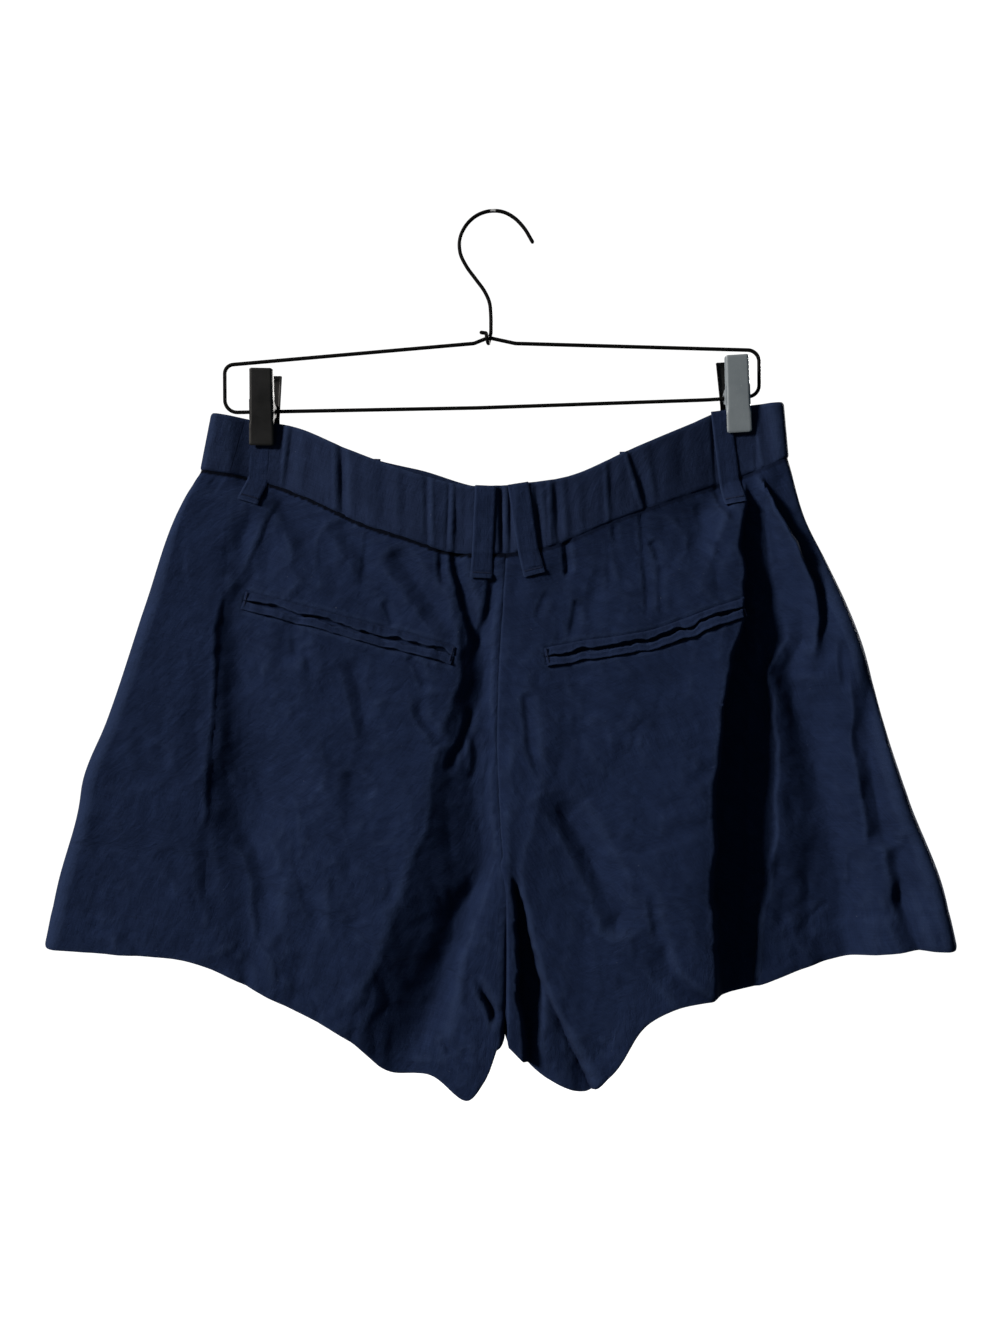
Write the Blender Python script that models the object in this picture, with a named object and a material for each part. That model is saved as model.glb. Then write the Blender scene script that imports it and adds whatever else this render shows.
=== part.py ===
"""Linen shorts held by the waistband on a wire clip hanger.

Sizes are in millimetres and are scaled to metres when a mesh is made. X runs across the garment with the
wearer's left at -X, the garment's back faces -Y, and +Z is up. The origin is the inner top of the hook.
Each leg is one strip of cloth from the centre front round the outer side to the centre back. `xi` runs over
a face from the outer side (0) to the centre (1), and `t` runs from the waist seam (0) to the hem (1).
"""
import math

import bpy
import numpy as np

for old in list(bpy.data.objects):
    bpy.data.objects.remove(old, do_unlink=True)

# ---------------------------------------------------------------- driving sizes
MM = 0.001
GAP = 0.3                 # clearance at a seam
CLOTH = 1.2               # a panel's wall
HEM_CLOTH = 2.0           # the wall where the hem is turned up
HEM_DEEP = 25.0
BAND = 2.4                # the waistband is two layers
LOOP = 1.6                # a belt loop's wall
LIP = 1.0                 # a welt's wall
CLIP_X = (-151.8, 155.4)  # the clips' centre lines
PAD_HALF = 8.0            # half of the pinched width under a clip
FAR_SHIFT = 1.2           # a clip's far plate stands this much nearer the middle
OPEN_BACK = 21.0          # how far the back of the waist stands out between the clips
OPEN_FRONT = 20.0
BODY_BACK = 28.0          # how far a leg's back stands out
BODY_FRONT = 25.0
RIM_BAND = 4.0            # width of the rounded turn at the outer side, at the waistband
RIM_LEG = 11.0            # the same lower down
FRONT_RISE = 4.0          # the front of the waist hangs this much less, and more at two places
CENTRE_X = 5.8            # centre seams
CROTCH_Z = (-415.0, -465.0)
LOOP_WIDE = 13.2
LOOP_TAIL = 15.0
WELT_LIP = 5.5
SLIT = 0.8                # gap between a welt's lips
WIRE = 1.05               # the wire's radius
BUTTON_R = 7.5

# ---------------------------------------------------------------- outlines: rows of (x, z), outer side first
TOP_EDGE = {
    "L": [(-184.6, -131), (-160, -135), (-133.5, -139.4), (-94, -156.5), (-55, -171.3), (-17, -180.5),
          (CENTRE_X, -180.2)],
    "R": [(185.3, -124), (148, -128.5), (124.5, -138.8), (85, -156.5), (46.4, -173.9), (CENTRE_X, -180.2)]}
WAIST_SEAM = {
    "L": [(-191.8, -168.2), (-159.3, -173.5), (-124, -186), (-82.6, -205.5), (-55, -214.5), (-33.5, -222),
          (CENTRE_X, -224.3)],
    "R": [(188.5, -160), (167, -169), (120, -186), (72, -203.5), (35, -219), (CENTRE_X, -224.3)]}
RIM = {
    "L": [(-191.8, -168.2), (-208, -200), (-225.5, -252), (-251, -330), (-266.5, -370), (-268.5, -384),
          (-282, -434), (-290, -473)],
    "R": [(188.5, -160), (200, -200), (212.5, -226), (234, -278), (247.5, -330), (264, -382), (284, -434),
          (292.5, -473)]}
CENTRE = {
    "L": [(CENTRE_X, -224.3), (2.6, -271), (0.7, -309), (0.0, -345), (2.6, -403), (3.8, -423), (2.6, -465), (1.9, -531.5)],
    "R": [(CENTRE_X, -224.3), (2.6, -271), (0.7, -309), (0.0, -345), (2.6, -403), (3.8, -423), (4.4, -465), (4.1, -531.5)]}
HEM_BACK = {
    "L": [(-290, -473), (-244, -476.5), (-193, -481.7), (-143, -504.5), (-92, -531.5), (-67, -553.3),
          (-42, -554.5), (-17, -569), (-8.3, -558), (1.9, -531.5)],
    "R": [(292.5, -473), (262.5, -475.4), (210, -486), (148.9, -504.4), (109.4, -509.8), (96.6, -516.8),
          (71.2, -554), (58.6, -565.5), (33.8, -558), (4.1, -531.5)]}
HEM_FRONT = {
    "L": [(-290, -473), (-244, -472), (-193, -477), (-143, -494), (-92, -516), (-45, -538), (-17, -545),
          (1.9, -531.5)],
    "R": [(292.5, -473), (262.5, -472), (210, -479), (149, -492), (100, -510), (60, -538), (34, -545),
          (4.1, -531.5)]}
SIDE_SEAM = {"L": [(-172, -150), (-173.5, -250), (-177, -300), (-180, -348), (-182.5, -391), (-188, -500)],
             "R": [(173, -150), (174.5, -250), (177, -311), (175.5, -424), (169, -510)]}

# ---------------------------------------------------------------- the largest folds of the back
# name, path of (x, z), depth (a trough is positive), width on the left, width on the right, fade in, fade out
FOLDS_BACK = [
    ("left side valley", [(-139, -184), (-154, -232), (-169, -250), (-172, -300), (-175, -348), (-178, -392)],
     9.0, 7, 40, 0.10, 0.10),
    ("left side branch", [(-176, -396), (-158, -407), (-149, -430), (-149, -468), (-152, -500)],
     6.0, 7, 17, 0.15, 0.0),
    ("right side valley", [(162, -184), (160, -215), (161, -250), (153, -297), (145, -336), (141, -362),
                           (140, -406), (140, -449), (140, -490), (143, -510)], 19.0, 9, 58, 0.12, 0.0),
    ("right wedge", [(183, -185), (194, -212), (203, -230), (210, -250), (211, -290)], 6.0, 8, 12, 0.15, 0.30),
    ("right side crease", [(232, -319), (236, -352), (244, -394), (250, -440), (254, -475)],
     4.0, 6, 12, 0.20, 0.0),
    ("left leg slope", [(-15, -270), (-17, -316), (-12, -379), (-17, -424), (-36, -468), (-52, -495),
                        (-68, -540)], 9.0, 30, 14, 0.20, 0.0),
    ("seat hollow left", [(-70, -225), (-55, -247), (-38, -268)], 4.5, 10, 12, 0.2, 0.3),
    ("right leg trough", [(20, -305), (24, -358), (30, -375), (50, -415), (64, -441), (74, -470)],
     6.0, 9, 18, 0.20, 0.25),
    ("hem pleat right", [(96, -430), (101, -468), (107, -492), (116, -512)], 5.0, 8, 15, 0.25, 0.0),
]
FOLDS_FRONT = [
    ("left clip valley", [(-146, -180), (-152, -235), (-158, -300), (-150, -400), (-146, -500)],
     9.0, 22, 30, 0.10, 0.0),
    ("right clip valley", [(150, -178), (154, -235), (158, -300), (150, -400), (143, -500)],
     10.0, 26, 24, 0.10, 0.0),
    ("left front pleat", [(-84, -205), (-86, -280), (-92, -380), (-96, -530)], 5.0, 14, 18, 0.05, 0.0),
    ("right front pleat", [(88, -198), (90, -280), (92, -380), (90, -530)], 5.0, 18, 14, 0.05, 0.0),
]
# gathers of the elasticated back band: x at the band's middle, depth, half width
GATHERS = [(-128, 1.2, 5), (-104, 1.3, 5), (-88, 0.9, 5), (-66, 1.0, 5), (-45, 1.3, 4), (-30, 0.9, 4),
           (6, 1.4, 4), (36, 1.1, 4), (47, 0.9, 4), (69, 1.1, 5), (90, 1.3, 4), (112, 1.0, 5), (137, 1.0, 4)]

# belt loops: name, x of the top, x of the tail
BACK_LOOPS = [("belt_loop_outer_left", -152.0, -155.5), ("belt_loop_centre_left", -7.1, -10.0),
              ("belt_loop_centre_right", 13.3, 22.2), ("belt_loop_outer_right", 145.0, 152.5)]
FRONT_LOOPS = [("belt_loop_front_left", -84.0, -85.0), ("belt_loop_front_right", 88.0, 89.0)]


# ---------------------------------------------------------------- small helpers
def smooth(v):
    v = np.clip(v, 0.0, 1.0)
    return v * v * (3.0 - 2.0 * v)


class Line:
    """A smooth line through a short row of points, read by the share of its length."""

    def __init__(self, points):
        self.p = np.array(points, float)
        step = np.hypot(*np.diff(self.p, axis=0).T)
        self.s = np.concatenate([[0.0], np.cumsum(step)]) / step.sum()
        slope = np.gradient(self.p, self.s, axis=0)
        self.m = slope

    def at(self, u):
        u = np.clip(np.asarray(u, float), 0.0, 1.0)
        k = np.clip(np.searchsorted(self.s, u, side="right") - 1, 0, len(self.s) - 2)
        h = self.s[k + 1] - self.s[k]
        r = ((u - self.s[k]) / h)[..., None]
        h = h[..., None]
        p0, p1, m0, m1 = self.p[k], self.p[k + 1], self.m[k], self.m[k + 1]
        return ((2 * r ** 3 - 3 * r ** 2 + 1) * p0 + (r ** 3 - 2 * r ** 2 + r) * h * m0
                + (3 * r ** 2 - 2 * r ** 3) * p1 + (r ** 3 - r ** 2) * h * m1)


def x_of_z(points, z):
    rows = sorted(points, key=lambda p: p[1])
    return np.interp(z, [p[1] for p in rows], [p[0] for p in rows])


def whole_row(table):
    rows = list(table["L"]) + list(reversed(table["R"]))[1:]
    return np.array([p[0] for p in rows]), np.array([p[1] for p in rows])


SEAM_X, SEAM_Z = whole_row(WAIST_SEAM)


def sag(x):
    """Share of the waist's slack at x: none at the clips, all of it half way between them."""
    half = (CLIP_X[1] - CLIP_X[0]) / 2
    middle = (CLIP_X[1] + CLIP_X[0]) / 2
    return np.clip(1.0 - ((x - middle) / half) ** 2, 0.0, 1.0)


def front_rise(x):
    high = 4.5 * smooth(1 - np.abs(x + 45) / 50) + 1.8 * smooth(1 - np.abs(x - 18) / 20)
    return FRONT_RISE * sag(x) + high


def waist_open(x, widest):
    """How far the waist stands out from the hanger's plane: pinched at the clips, open between them."""
    left = x - CLIP_X[0]
    right = CLIP_X[1] - x
    inner = np.minimum(left, right)
    pad = PAD_HALF if widest == OPEN_BACK else PAD_HALF + FAR_SHIFT + 0.4
    away = np.maximum(inner - pad, 0.0)
    between = (widest - 1.35) * (1.0 - np.exp(-(away / 55.0) ** 1.3))
    out = np.maximum(-inner - PAD_HALF, 0.0)
    beyond = 4.5 * smooth(out / 16.0)
    return 1.35 + between + beyond


def side_of(points, x, z):
    """Signed distance from a path (positive on its +X side) and the share of the way along it."""
    p = Line(points).at(np.linspace(0, 1, 5 * len(points)))
    best = np.full(np.shape(x), 1e9)
    sign = np.ones(np.shape(x))
    along = np.zeros(np.shape(x))
    n = len(p) - 1
    for i in range(n):
        d = p[i + 1] - p[i]
        f = np.clip(((x - p[i, 0]) * d[0] + (z - p[i, 1]) * d[1]) / (d @ d), 0, 1)
        ex = x - (p[i, 0] + f * d[0])
        ez = z - (p[i, 1] + f * d[1])
        r = np.hypot(ex, ez)
        nearer = r < best
        best = np.where(nearer, r, best)
        sign = np.where(nearer, np.where(d[0] * ez - d[1] * ex >= 0, 1.0, -1.0), sign)
        along = np.where(nearer, (i + f) / n, along)
    return best * sign, along


def folds_at(table, x, z):
    total = np.zeros(np.shape(x))
    for _, path, deep, wide_l, wide_r, fade_in, fade_out in table:
        s, along = side_of(path, x, z)
        shape = smooth(1 - np.abs(s) / np.where(s < 0, wide_l, wide_r))
        if fade_in:
            shape = shape * smooth(along / fade_in)
        if fade_out:
            shape = shape * smooth((1 - along) / fade_out)
        total += deep * shape
    return total


def stand_out(face, x, z):
    """How far a panel's middle surface stands out from the hanger's plane."""
    back = face == "back"
    below = np.maximum(np.interp(x, SEAM_X, SEAM_Z) - z, 0.0)
    waist = waist_open(x, OPEN_BACK if back else OPEN_FRONT)
    edge = np.minimum(x - x_of_z(RIM["L"], z), x_of_z(RIM["R"], z) - x)
    body = 12.0 + ((BODY_BACK if back else BODY_FRONT) - 12.0) * smooth(edge / 75.0)
    if back:
        body = body + 4.0 * smooth(1 - np.abs(x - x_of_z(FOLDS_BACK[2][1], z) + 16) / 34.0)
    out = waist + (body - waist) * smooth(below / 85.0) ** 0.8
    out = out - folds_at(FOLDS_BACK if back else FOLDS_FRONT, x, z)
    return np.maximum(out, 1.35 + 0.85 * smooth(below / 12.0))


class Half:
    """One leg of the shorts with its half of the seat: the outlines and the surface they carry."""

    def __init__(self, side):
        self.side = side
        self.sign = -1.0 if side == "L" else 1.0
        self.top = Line(WAIST_SEAM[side])
        self.rim = Line(RIM[side])
        self.centre = Line(CENTRE[side])
        self.hem = {"back": Line(HEM_BACK[side]), "front": Line(HEM_FRONT[side])}

    def flat(self, face, xi, t):
        """Point (x, z) on a face's outline patch."""
        xi, t = np.broadcast_arrays(np.asarray(xi, float), np.asarray(t, float))
        top, hem, rim, mid = self.top.at(xi), self.hem[face].at(xi), self.rim.at(t), self.centre.at(t)
        a, b = self.top.at(0.0), self.top.at(1.0)
        c, d = self.hem[face].at(0.0), self.hem[face].at(1.0)
        u, v = xi[..., None], t[..., None]
        p = ((1 - v) * top + v * hem + (1 - u) * rim + u * mid
             - ((1 - u) * (1 - v) * a + u * (1 - v) * b + (1 - u) * v * c + u * v * d))
        x, z = p[..., 0], p[..., 1]
        if face == "front":
            z = z + front_rise(x) * (1 - smooth(t / 0.6))
        return x, z

    def rim_share(self, t):
        wide = np.abs(self.centre.at(t)[..., 0] - self.rim.at(t)[..., 0])
        return (RIM_BAND + (RIM_LEG - RIM_BAND) * smooth(t / 0.3)) / wide

    def turn_share(self, face, t):
        """Share of the face that turns in to the inseam."""
        low = smooth((np.asarray(t, float) - 0.62) / 0.38)
        wide = {"L": (0.045, 0.10), "R": (0.03, 0.175)}[self.side]
        if face == "front":
            wide = (0.05, 0.12)
        return wide[0] + (wide[1] - wide[0]) * low

    def turn(self, t):
        """0 above the crotch, 1 where the leg is closed by the inseam."""
        z = self.centre.at(t)[..., 1]
        return np.clip((CROTCH_Z[0] - z) / (CROTCH_Z[0] - CROTCH_Z[1]), 0, 1)

    def seam_share(self, t):
        """xi of the side seam on the back face."""
        t = np.atleast_1d(np.asarray(t, float))
        u = np.linspace(0.0, 0.6, 121)
        out = []
        for tt in t:
            x, z = self.flat("back", u, np.full_like(u, tt))
            miss = (x - x_of_z(SIDE_SEAM[self.side], z)) * -self.sign
            out.append(np.interp(0.0, miss, u))
        return np.array(out)

    def surface(self, face, kind, value, t):
        """Points down one column. kind: 'rim' (turn angle), 'side', 'back' or 'face' (a share), 'turn' (angle)."""
        t = np.asarray(t, float)
        xr = self.rim_share(t)
        xt = self.turn_share(face, t)
        k = self.turn(t)
        round_rim = np.ones_like(t)
        round_in = np.ones_like(t)
        if kind == "rim":
            xi = xr * (1 - math.cos(value))
            round_rim = np.full_like(t, math.sin(value))
        elif kind == "side":
            xi = xr + (self.seam_share(t) - xr) * value
        elif kind == "back":
            seam = self.seam_share(t)
            xi = seam + (1 - xt - seam) * value
        elif kind == "face":
            xi = xr + (1 - xt - xr) * value
        else:
            xi = 1 - xt + xt * math.sin(value)
            round_in = np.sqrt(np.maximum(1 - (k * math.sin(value)) ** 2, 0.0))
        x, z = self.flat(face, xi, t)
        y = stand_out(face, x, z) * round_rim * round_in + GAP / 2 * round_rim
        if kind == "turn":
            # the two legs keep clear of each other once the seam turns in
            x = x + self.sign * 1.1 * smooth(k / 0.12) * math.sin(value) * (1 - smooth((k - 0.3) / 0.7))
        return np.stack([x, -y if face == "back" else y, z], axis=-1)


# ---------------------------------------------------------------- meshes
MATERIALS = {}


def material(name, colour, roughness, metallic=0.0):
    if name not in MATERIALS:
        made = bpy.data.materials.new(name)
        made.use_nodes = True
        shader = made.node_tree.nodes["Principled BSDF"]
        shader.inputs["Base Color"].default_value = (*colour, 1.0)
        shader.inputs["Roughness"].default_value = roughness
        shader.inputs["Metallic"].default_value = metallic
        MATERIALS[name] = made
    return MATERIALS[name]


LINEN = (0.021, 0.030, 0.066)


def add(name, verts, faces, mat, sharp=40.0):
    mesh = bpy.data.meshes.new(name)
    mesh.from_pydata([tuple(float(c) * MM for c in v) for v in verts], [], faces)
    mesh.validate()
    mesh.polygons.foreach_set("use_smooth", [True] * len(mesh.polygons))
    mesh.set_sharp_from_angle(angle=math.radians(sharp))
    mesh.materials.append(mat)
    made = bpy.data.objects.new(name, mesh)
    bpy.context.scene.collection.objects.link(made)
    return made


def normals_of(grid, ends=("free", "free")):
    """Unit normals of a grid of points [column, row], facing away from the hanger's plane."""
    du = np.gradient(grid, axis=0)
    dv = np.gradient(grid, axis=1)
    n = np.cross(du, dv)
    n /= np.linalg.norm(n, axis=-1, keepdims=True) + 1e-12
    return n


def unit(v):
    return v / (np.linalg.norm(v, axis=-1, keepdims=True) + 1e-12)


def shell(name, grid, normal, wall, mat, out=0.0):
    """A sheet of cloth as one closed body: the grid [column, row] moved out by `out` and given its wall."""
    wall = np.broadcast_to(np.asarray(wall, float), grid.shape[:2])[..., None]
    mid = grid + normal * out
    a = mid + normal * wall / 2
    b = mid - normal * wall / 2
    nu, nv = grid.shape[:2]
    verts = np.concatenate([a.reshape(-1, 3), b.reshape(-1, 3)])
    shift = nu * nv
    faces = []

    def at(i, j, low=0):
        return low * shift + i * nv + j

    for i in range(nu - 1):
        for j in range(nv - 1):
            q = (at(i, j), at(i + 1, j), at(i + 1, j + 1), at(i, j + 1))
            faces += [(q[0], q[1], q[2]), (q[0], q[2], q[3])]
            faces += [(q[2] + shift, q[1] + shift, q[0] + shift), (q[3] + shift, q[2] + shift, q[0] + shift)]
    ring = ([(i, 0) for i in range(nu)] + [(nu - 1, j) for j in range(1, nv)]
            + [(i, nv - 1) for i in range(nu - 2, -1, -1)] + [(0, j) for j in range(nv - 2, 0, -1)])
    for (i, j), (k, m) in zip(ring, ring[1:] + ring[:1]):
        faces += [(at(k, m), at(i, j), at(i, j, 1)), (at(k, m), at(i, j, 1), at(k, m, 1))]
    made = add(name, verts, faces, mat)
    if signed_volume(verts, faces) < 0:
        made.data.flip_normals()
    return made


def signed_volume(verts, faces):
    v = np.asarray(verts)
    f = np.asarray(faces)
    return float(np.einsum("ij,ij->i", v[f[:, 0]], np.cross(v[f[:, 1]], v[f[:, 2]])).sum() / 6)


# ---------------------------------------------------------------- legs
def row_shares(side):
    """Shares down a leg as a function of xi: two rows lie on the welts' edges and one on their slit."""
    return {"L": (0.232, 0.165), "R": (0.235, 0.168)}[side]


ROWS = [0.0, 0.035, 0.075, 0.12, 0.165, "upper", "slit_up", "slit_low", "lower", 0.29, 0.345, 0.40, 0.46, 0.52,
        0.58, 0.635, 0.69, 0.74, 0.79, 0.85, 0.91, 0.955, 1.0]


def rows_at(half, xi):
    """The t of every row at a column whose mean xi is given."""
    outer, inner = row_shares(half.side)
    top = outer + (inner - outer) * xi
    high = np.hypot(*(half.hem["back"].at(xi) - half.top.at(xi)))
    lip = WELT_LIP / high
    slit = SLIT / high
    marks = {"upper": top, "slit_up": top + lip - slit / 2, "slit_low": top + lip + slit / 2,
             "lower": top + 2 * lip}
    out = []
    for row in ROWS:
        if isinstance(row, str):
            out.append(marks[row])
        elif row <= 0.165:
            out.append(row / 0.165 * 0.86 * top)
        else:
            low = marks["lower"]
            out.append(low + (row - 0.25) / 0.75 * (1 - low))
    return np.array(out)


FACE_COLUMNS = [0.0, 0.09, 0.18, 0.27, 0.36, 0.45, 0.54, 0.63, 0.72, 0.80, 0.88, 0.95]
BACK_COLUMNS = {"L": [0.0, 0.05, 0.11, 0.18, 0.26, 0.34, 0.42, 0.50, 0.58, 0.66, 0.74, 0.81, 0.875, 0.94],
                "R": [0.0, 0.055, 0.10, 0.145, 0.19, 0.24, 0.31, 0.39, 0.47, 0.55, 0.63, 0.71, 0.79, 0.86,
                      0.93]}
TURN_COLUMNS = [0, 28, 50, 70, 90]
RIM_COLUMNS = [90, 52, 0, -52, -90]


def leg_strip(side):
    """The whole strip of one leg as a grid, and the number of the column on its side seam."""
    half = Half(side)
    spec = [("front", "turn", math.radians(a), 1.0) for a in reversed(TURN_COLUMNS)]
    spec += [("front", "face", f, f) for f in reversed(FACE_COLUMNS[1:])]
    for a in RIM_COLUMNS:
        spec.append(("front" if a >= 0 else "back", "rim", math.radians(abs(a)), 0.03))
    spec += [("back", "side", f, 0.03 + 0.25 * f) for f in (0.34, 0.67)]
    seam = len(spec)
    spec += [("back", "back", f, 0.28 + 0.67 * f) for f in BACK_COLUMNS[side]]
    spec += [("back", "turn", math.radians(a), 1.0) for a in TURN_COLUMNS]
    grid = np.array([half.surface(face, kind, value, rows_at(half, xi)) for face, kind, value, xi in spec])
    return half, grid, seam


def make_leg(side, mat_front, mat_back):
    half, grid, seam = leg_strip(side)
    normal = normals_of(grid)
    if normal[-6, 3, 1] > 0:
        normal = -normal
    normal[:, 0, 2] = 0.0
    turn = np.array([half.turn(t) for t in rows_at(half, 1.0)])
    closing = smooth(turn / 0.25)
    for end, damp in ((0, 0.0), (1, 0.2), (2, 0.6), (-3, 0.6), (-2, 0.2), (-1, 0.0)):
        normal[end, :, 0] *= closing + (1 - closing) * damp
    for end in (0, -1):
        normal[end, :, 1] *= 1 - smooth((turn - 0.4) / 0.5)
        normal[end, :, 0] += 1e-3 * half.sign * -1
    lips = (ROWS.index("slit_up"), ROWS.index("slit_low"))
    mean = normal[:, lips[0]] + normal[:, lips[1]]
    normal[:, lips[0]] = mean
    normal[:, lips[1]] = mean
    normal = unit(normal)
    wide = grid.copy()
    for end, step in ((0, 1), (-1, -1)):
        along = unit(grid[end] - grid[end + step])
        pull = GAP / 2 * (1 - smooth(turn / 0.25))
        wide[end] = grid[end] - along * pull[:, None]
    wide[:, 0, 2] -= GAP / 2
    wall = np.full(grid.shape[1], CLOTH)
    wall[-2:] = HEM_CLOTH
    name = "left" if side == "L" else "right"
    across = unit(grid[seam + 1] - grid[seam - 1])
    front = wide[:seam + 1].copy()
    front[-1] -= across * GAP / 2
    back = wide[seam:].copy()
    back[0] += across * GAP / 2
    shell("front_" + name, front, normal[:seam + 1], wall[None, :], mat_front)
    shell("back_" + name, back, normal[seam:], wall[None, :], mat_back)
    return half, grid, normal, seam


# ---------------------------------------------------------------- waistband
def band_point(side, face, xi, v, round_rim=1.0, extra=0.0):
    """Point on the waistband: xi from the outer side (0) to the centre (1), v down it from 0 to 1."""
    xi, v = np.broadcast_arrays(np.asarray(xi, float), np.asarray(v, float))
    lean = xi + 0.055 * np.sin(math.pi * xi)
    up = Line(TOP_EDGE[side]).at(lean)
    low = Line(WAIST_SEAM[side]).at(xi)
    p = up + (low - up) * v[..., None]
    x, z = p[..., 0], p[..., 1]
    middle = up + (low - up) * 0.5
    out = waist_open(x, OPEN_BACK if face == "back" else OPEN_FRONT)
    if face == "front":
        z = z + front_rise(x)
    else:
        for gx, deep, wide in GATHERS:
            out = out - deep * smooth(1 - np.abs(middle[..., 0] - gx) / wide) * (0.5 + 0.5 * np.sin(math.pi * v))
    out = np.maximum(out, 1.35)
    y = (out + extra) * round_rim
    return np.stack([x, -y if face == "back" else y, z], axis=-1)


def band_xi(side, x, v=0.5):
    """xi of the band's point at a given x and share down the band."""
    u = np.linspace(0, 1, 401)
    xs = band_point(side, "back", u, np.full_like(u, v))[:, 0]
    order = np.argsort(xs)
    return float(np.interp(x, xs[order], u[order]))


BAND_ROWS = [0.0, 0.33, 0.67, 1.0]


def back_band_columns(side):
    """xi of the back band's columns: an even row, with columns on the belt loops' edges."""
    shares = set()
    for name, top, tail in BACK_LOOPS:
        centre = top + (tail - top) * 0.37
        if (centre < CENTRE_X) != (side == "L"):
            continue
        for edge in (-0.5, 0.0, 0.5):
            shares.add(round(band_xi(side, centre + edge * LOOP_WIDE), 4))
    seam = band_seam_share(side)
    plain = list(np.linspace(seam, 1.0, 21))
    keep = [u for u in plain if min(abs(u - s) for s in shares) > 0.018]
    return sorted(set(keep) | shares | {round(seam, 4), 1.0})


def band_seam_share(side):
    return round(band_xi(side, {"L": -168.0, "R": 171.0}[side]), 4)


def make_bands(mat_back, mat_front):
    rows = np.array(BAND_ROWS)
    spec = []
    left = back_band_columns("L")
    right = list(reversed(back_band_columns("R")))
    spec += [("L", u) for u in left]
    spec += [("R", u) for u in right[1:]]
    grid = np.array([band_point(s, "back", np.full_like(rows, u), rows) for s, u in spec])
    normal = normals_of(grid)
    if normal[len(spec) // 2, 1, 1] > 0:
        normal = -normal
    normal[..., 2] *= np.array([0.0, 1.0, 1.0, 0.0])
    normal[(0, -1), :, 0] = 0.0
    normal = unit(normal)
    low = grid.copy()
    low[:, -1, 2] += GAP / 2
    low[0, :, 0] += GAP / 2
    low[-1, :, 0] -= GAP / 2
    shell("waistband_back", low, normal, BAND, mat_back)
    for side in ("L", "R"):
        make_front_band(side, rows, mat_front)
    return spec, grid, normal


def make_front_band(side, rows, mat):
    """From the side seam, round the outer side, to the centre front, where the right half laps the left."""
    sign = -1.0 if side == "L" else 1.0
    half = Half(side)
    seam = band_seam_share(side)
    share = float(half.rim_share(0.0))
    turned = float(half.turn_share("front", 0.0))
    columns = [("back", u, 1.0) for u in np.linspace(seam, share, 4)]
    for a in RIM_COLUMNS[::-1][1:-1]:
        w = math.radians(abs(a))
        columns.append(("front" if a >= 0 else "back", share * (1 - math.cos(w)), math.sin(w)))
    columns += [("front", share + (1 - turned - share) * f, 1.0) for f in FACE_COLUMNS]
    columns += [("front", 1 - turned / 2, 1.0), ("front", 1.0, 1.0)]
    grid = [band_point(side, f, np.full_like(rows, u), rows, r) for f, u, r in columns]
    if side == "R":
        for i, (f, u, r) in enumerate(columns):
            if f == "front":
                x = grid[i][:, 0]
                grid[i][:, 1] += (BAND + GAP) * smooth((CENTRE_X + 22 - x) / 18.0)
        for shift in (9.0, 18.0, 27.0):
            u = band_xi("L", CENTRE_X - shift)
            row = band_point("L", "front", np.full_like(rows, u), rows)
            row[:, 1] += BAND + GAP
            grid.append(row)
    grid = np.array(grid)
    normal = normals_of(grid)
    if normal[-3, 1, 1] < 0:
        normal = -normal
    normal[..., 2] *= np.array([0.0, 1.0, 1.0, 0.0])
    normal[0, :, 0] = 0.0
    normal[-1, :, 0] = 0.0
    normal = unit(normal)
    grid[0, :, 0] += sign * GAP / 2
    grid[:, -1, 2] += GAP
    shell("waistband_front_" + ("left" if side == "L" else "right"), grid, normal, BAND, mat)


# ---------------------------------------------------------------- belt loops
def panel_cloud(strips, face):
    """Close points on the panels' outer faces near the waist."""
    found = []
    for half, grid, normal, seam in strips.values():
        skin = (grid + normal * CLOTH / 2)[:, :5]
        part = skin[seam - 3:] if face == "back" else skin[:seam - 3]
        for f in np.linspace(0, 1, 9):
            for g in np.linspace(0, 1, 9):
                top = part[:-1, :-1] * (1 - f) + part[1:, :-1] * f
                low = part[:-1, 1:] * (1 - f) + part[1:, 1:] * f
                found.append((top * (1 - g) + low * g).reshape(-1, 3))
    return np.concatenate(found)


def proud(cloud, face, x, z, wide, tall):
    """How far the outermost cloth stands out under a small window."""
    near = cloud[(np.abs(cloud[:, 0] - x) < wide) & (np.abs(cloud[:, 2] - z) < tall)]
    return float(near[:, 1].min()) if face == "back" else float(near[:, 1].max())


def loop_tail(cloud, face, edge, columns_x, lean):
    """The part of a loop below the waist seam: it lies across the outermost cloth under it."""
    sign = -1.0 if face == "back" else 1.0
    rows = []
    for share in (0.45, 1.0):
        drop = LOOP_TAIL * share
        points = []
        for p, x in zip(edge, columns_x):
            z = p[2] - drop
            y = proud(cloud, face, x + lean * drop, z, 3.5, 4.5) + sign * (GAP + 0.1 + LOOP / 2)
            points.append((x + lean * drop, y, z))
        rows.append(points)
    return np.array(rows).transpose(1, 0, 2)


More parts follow.
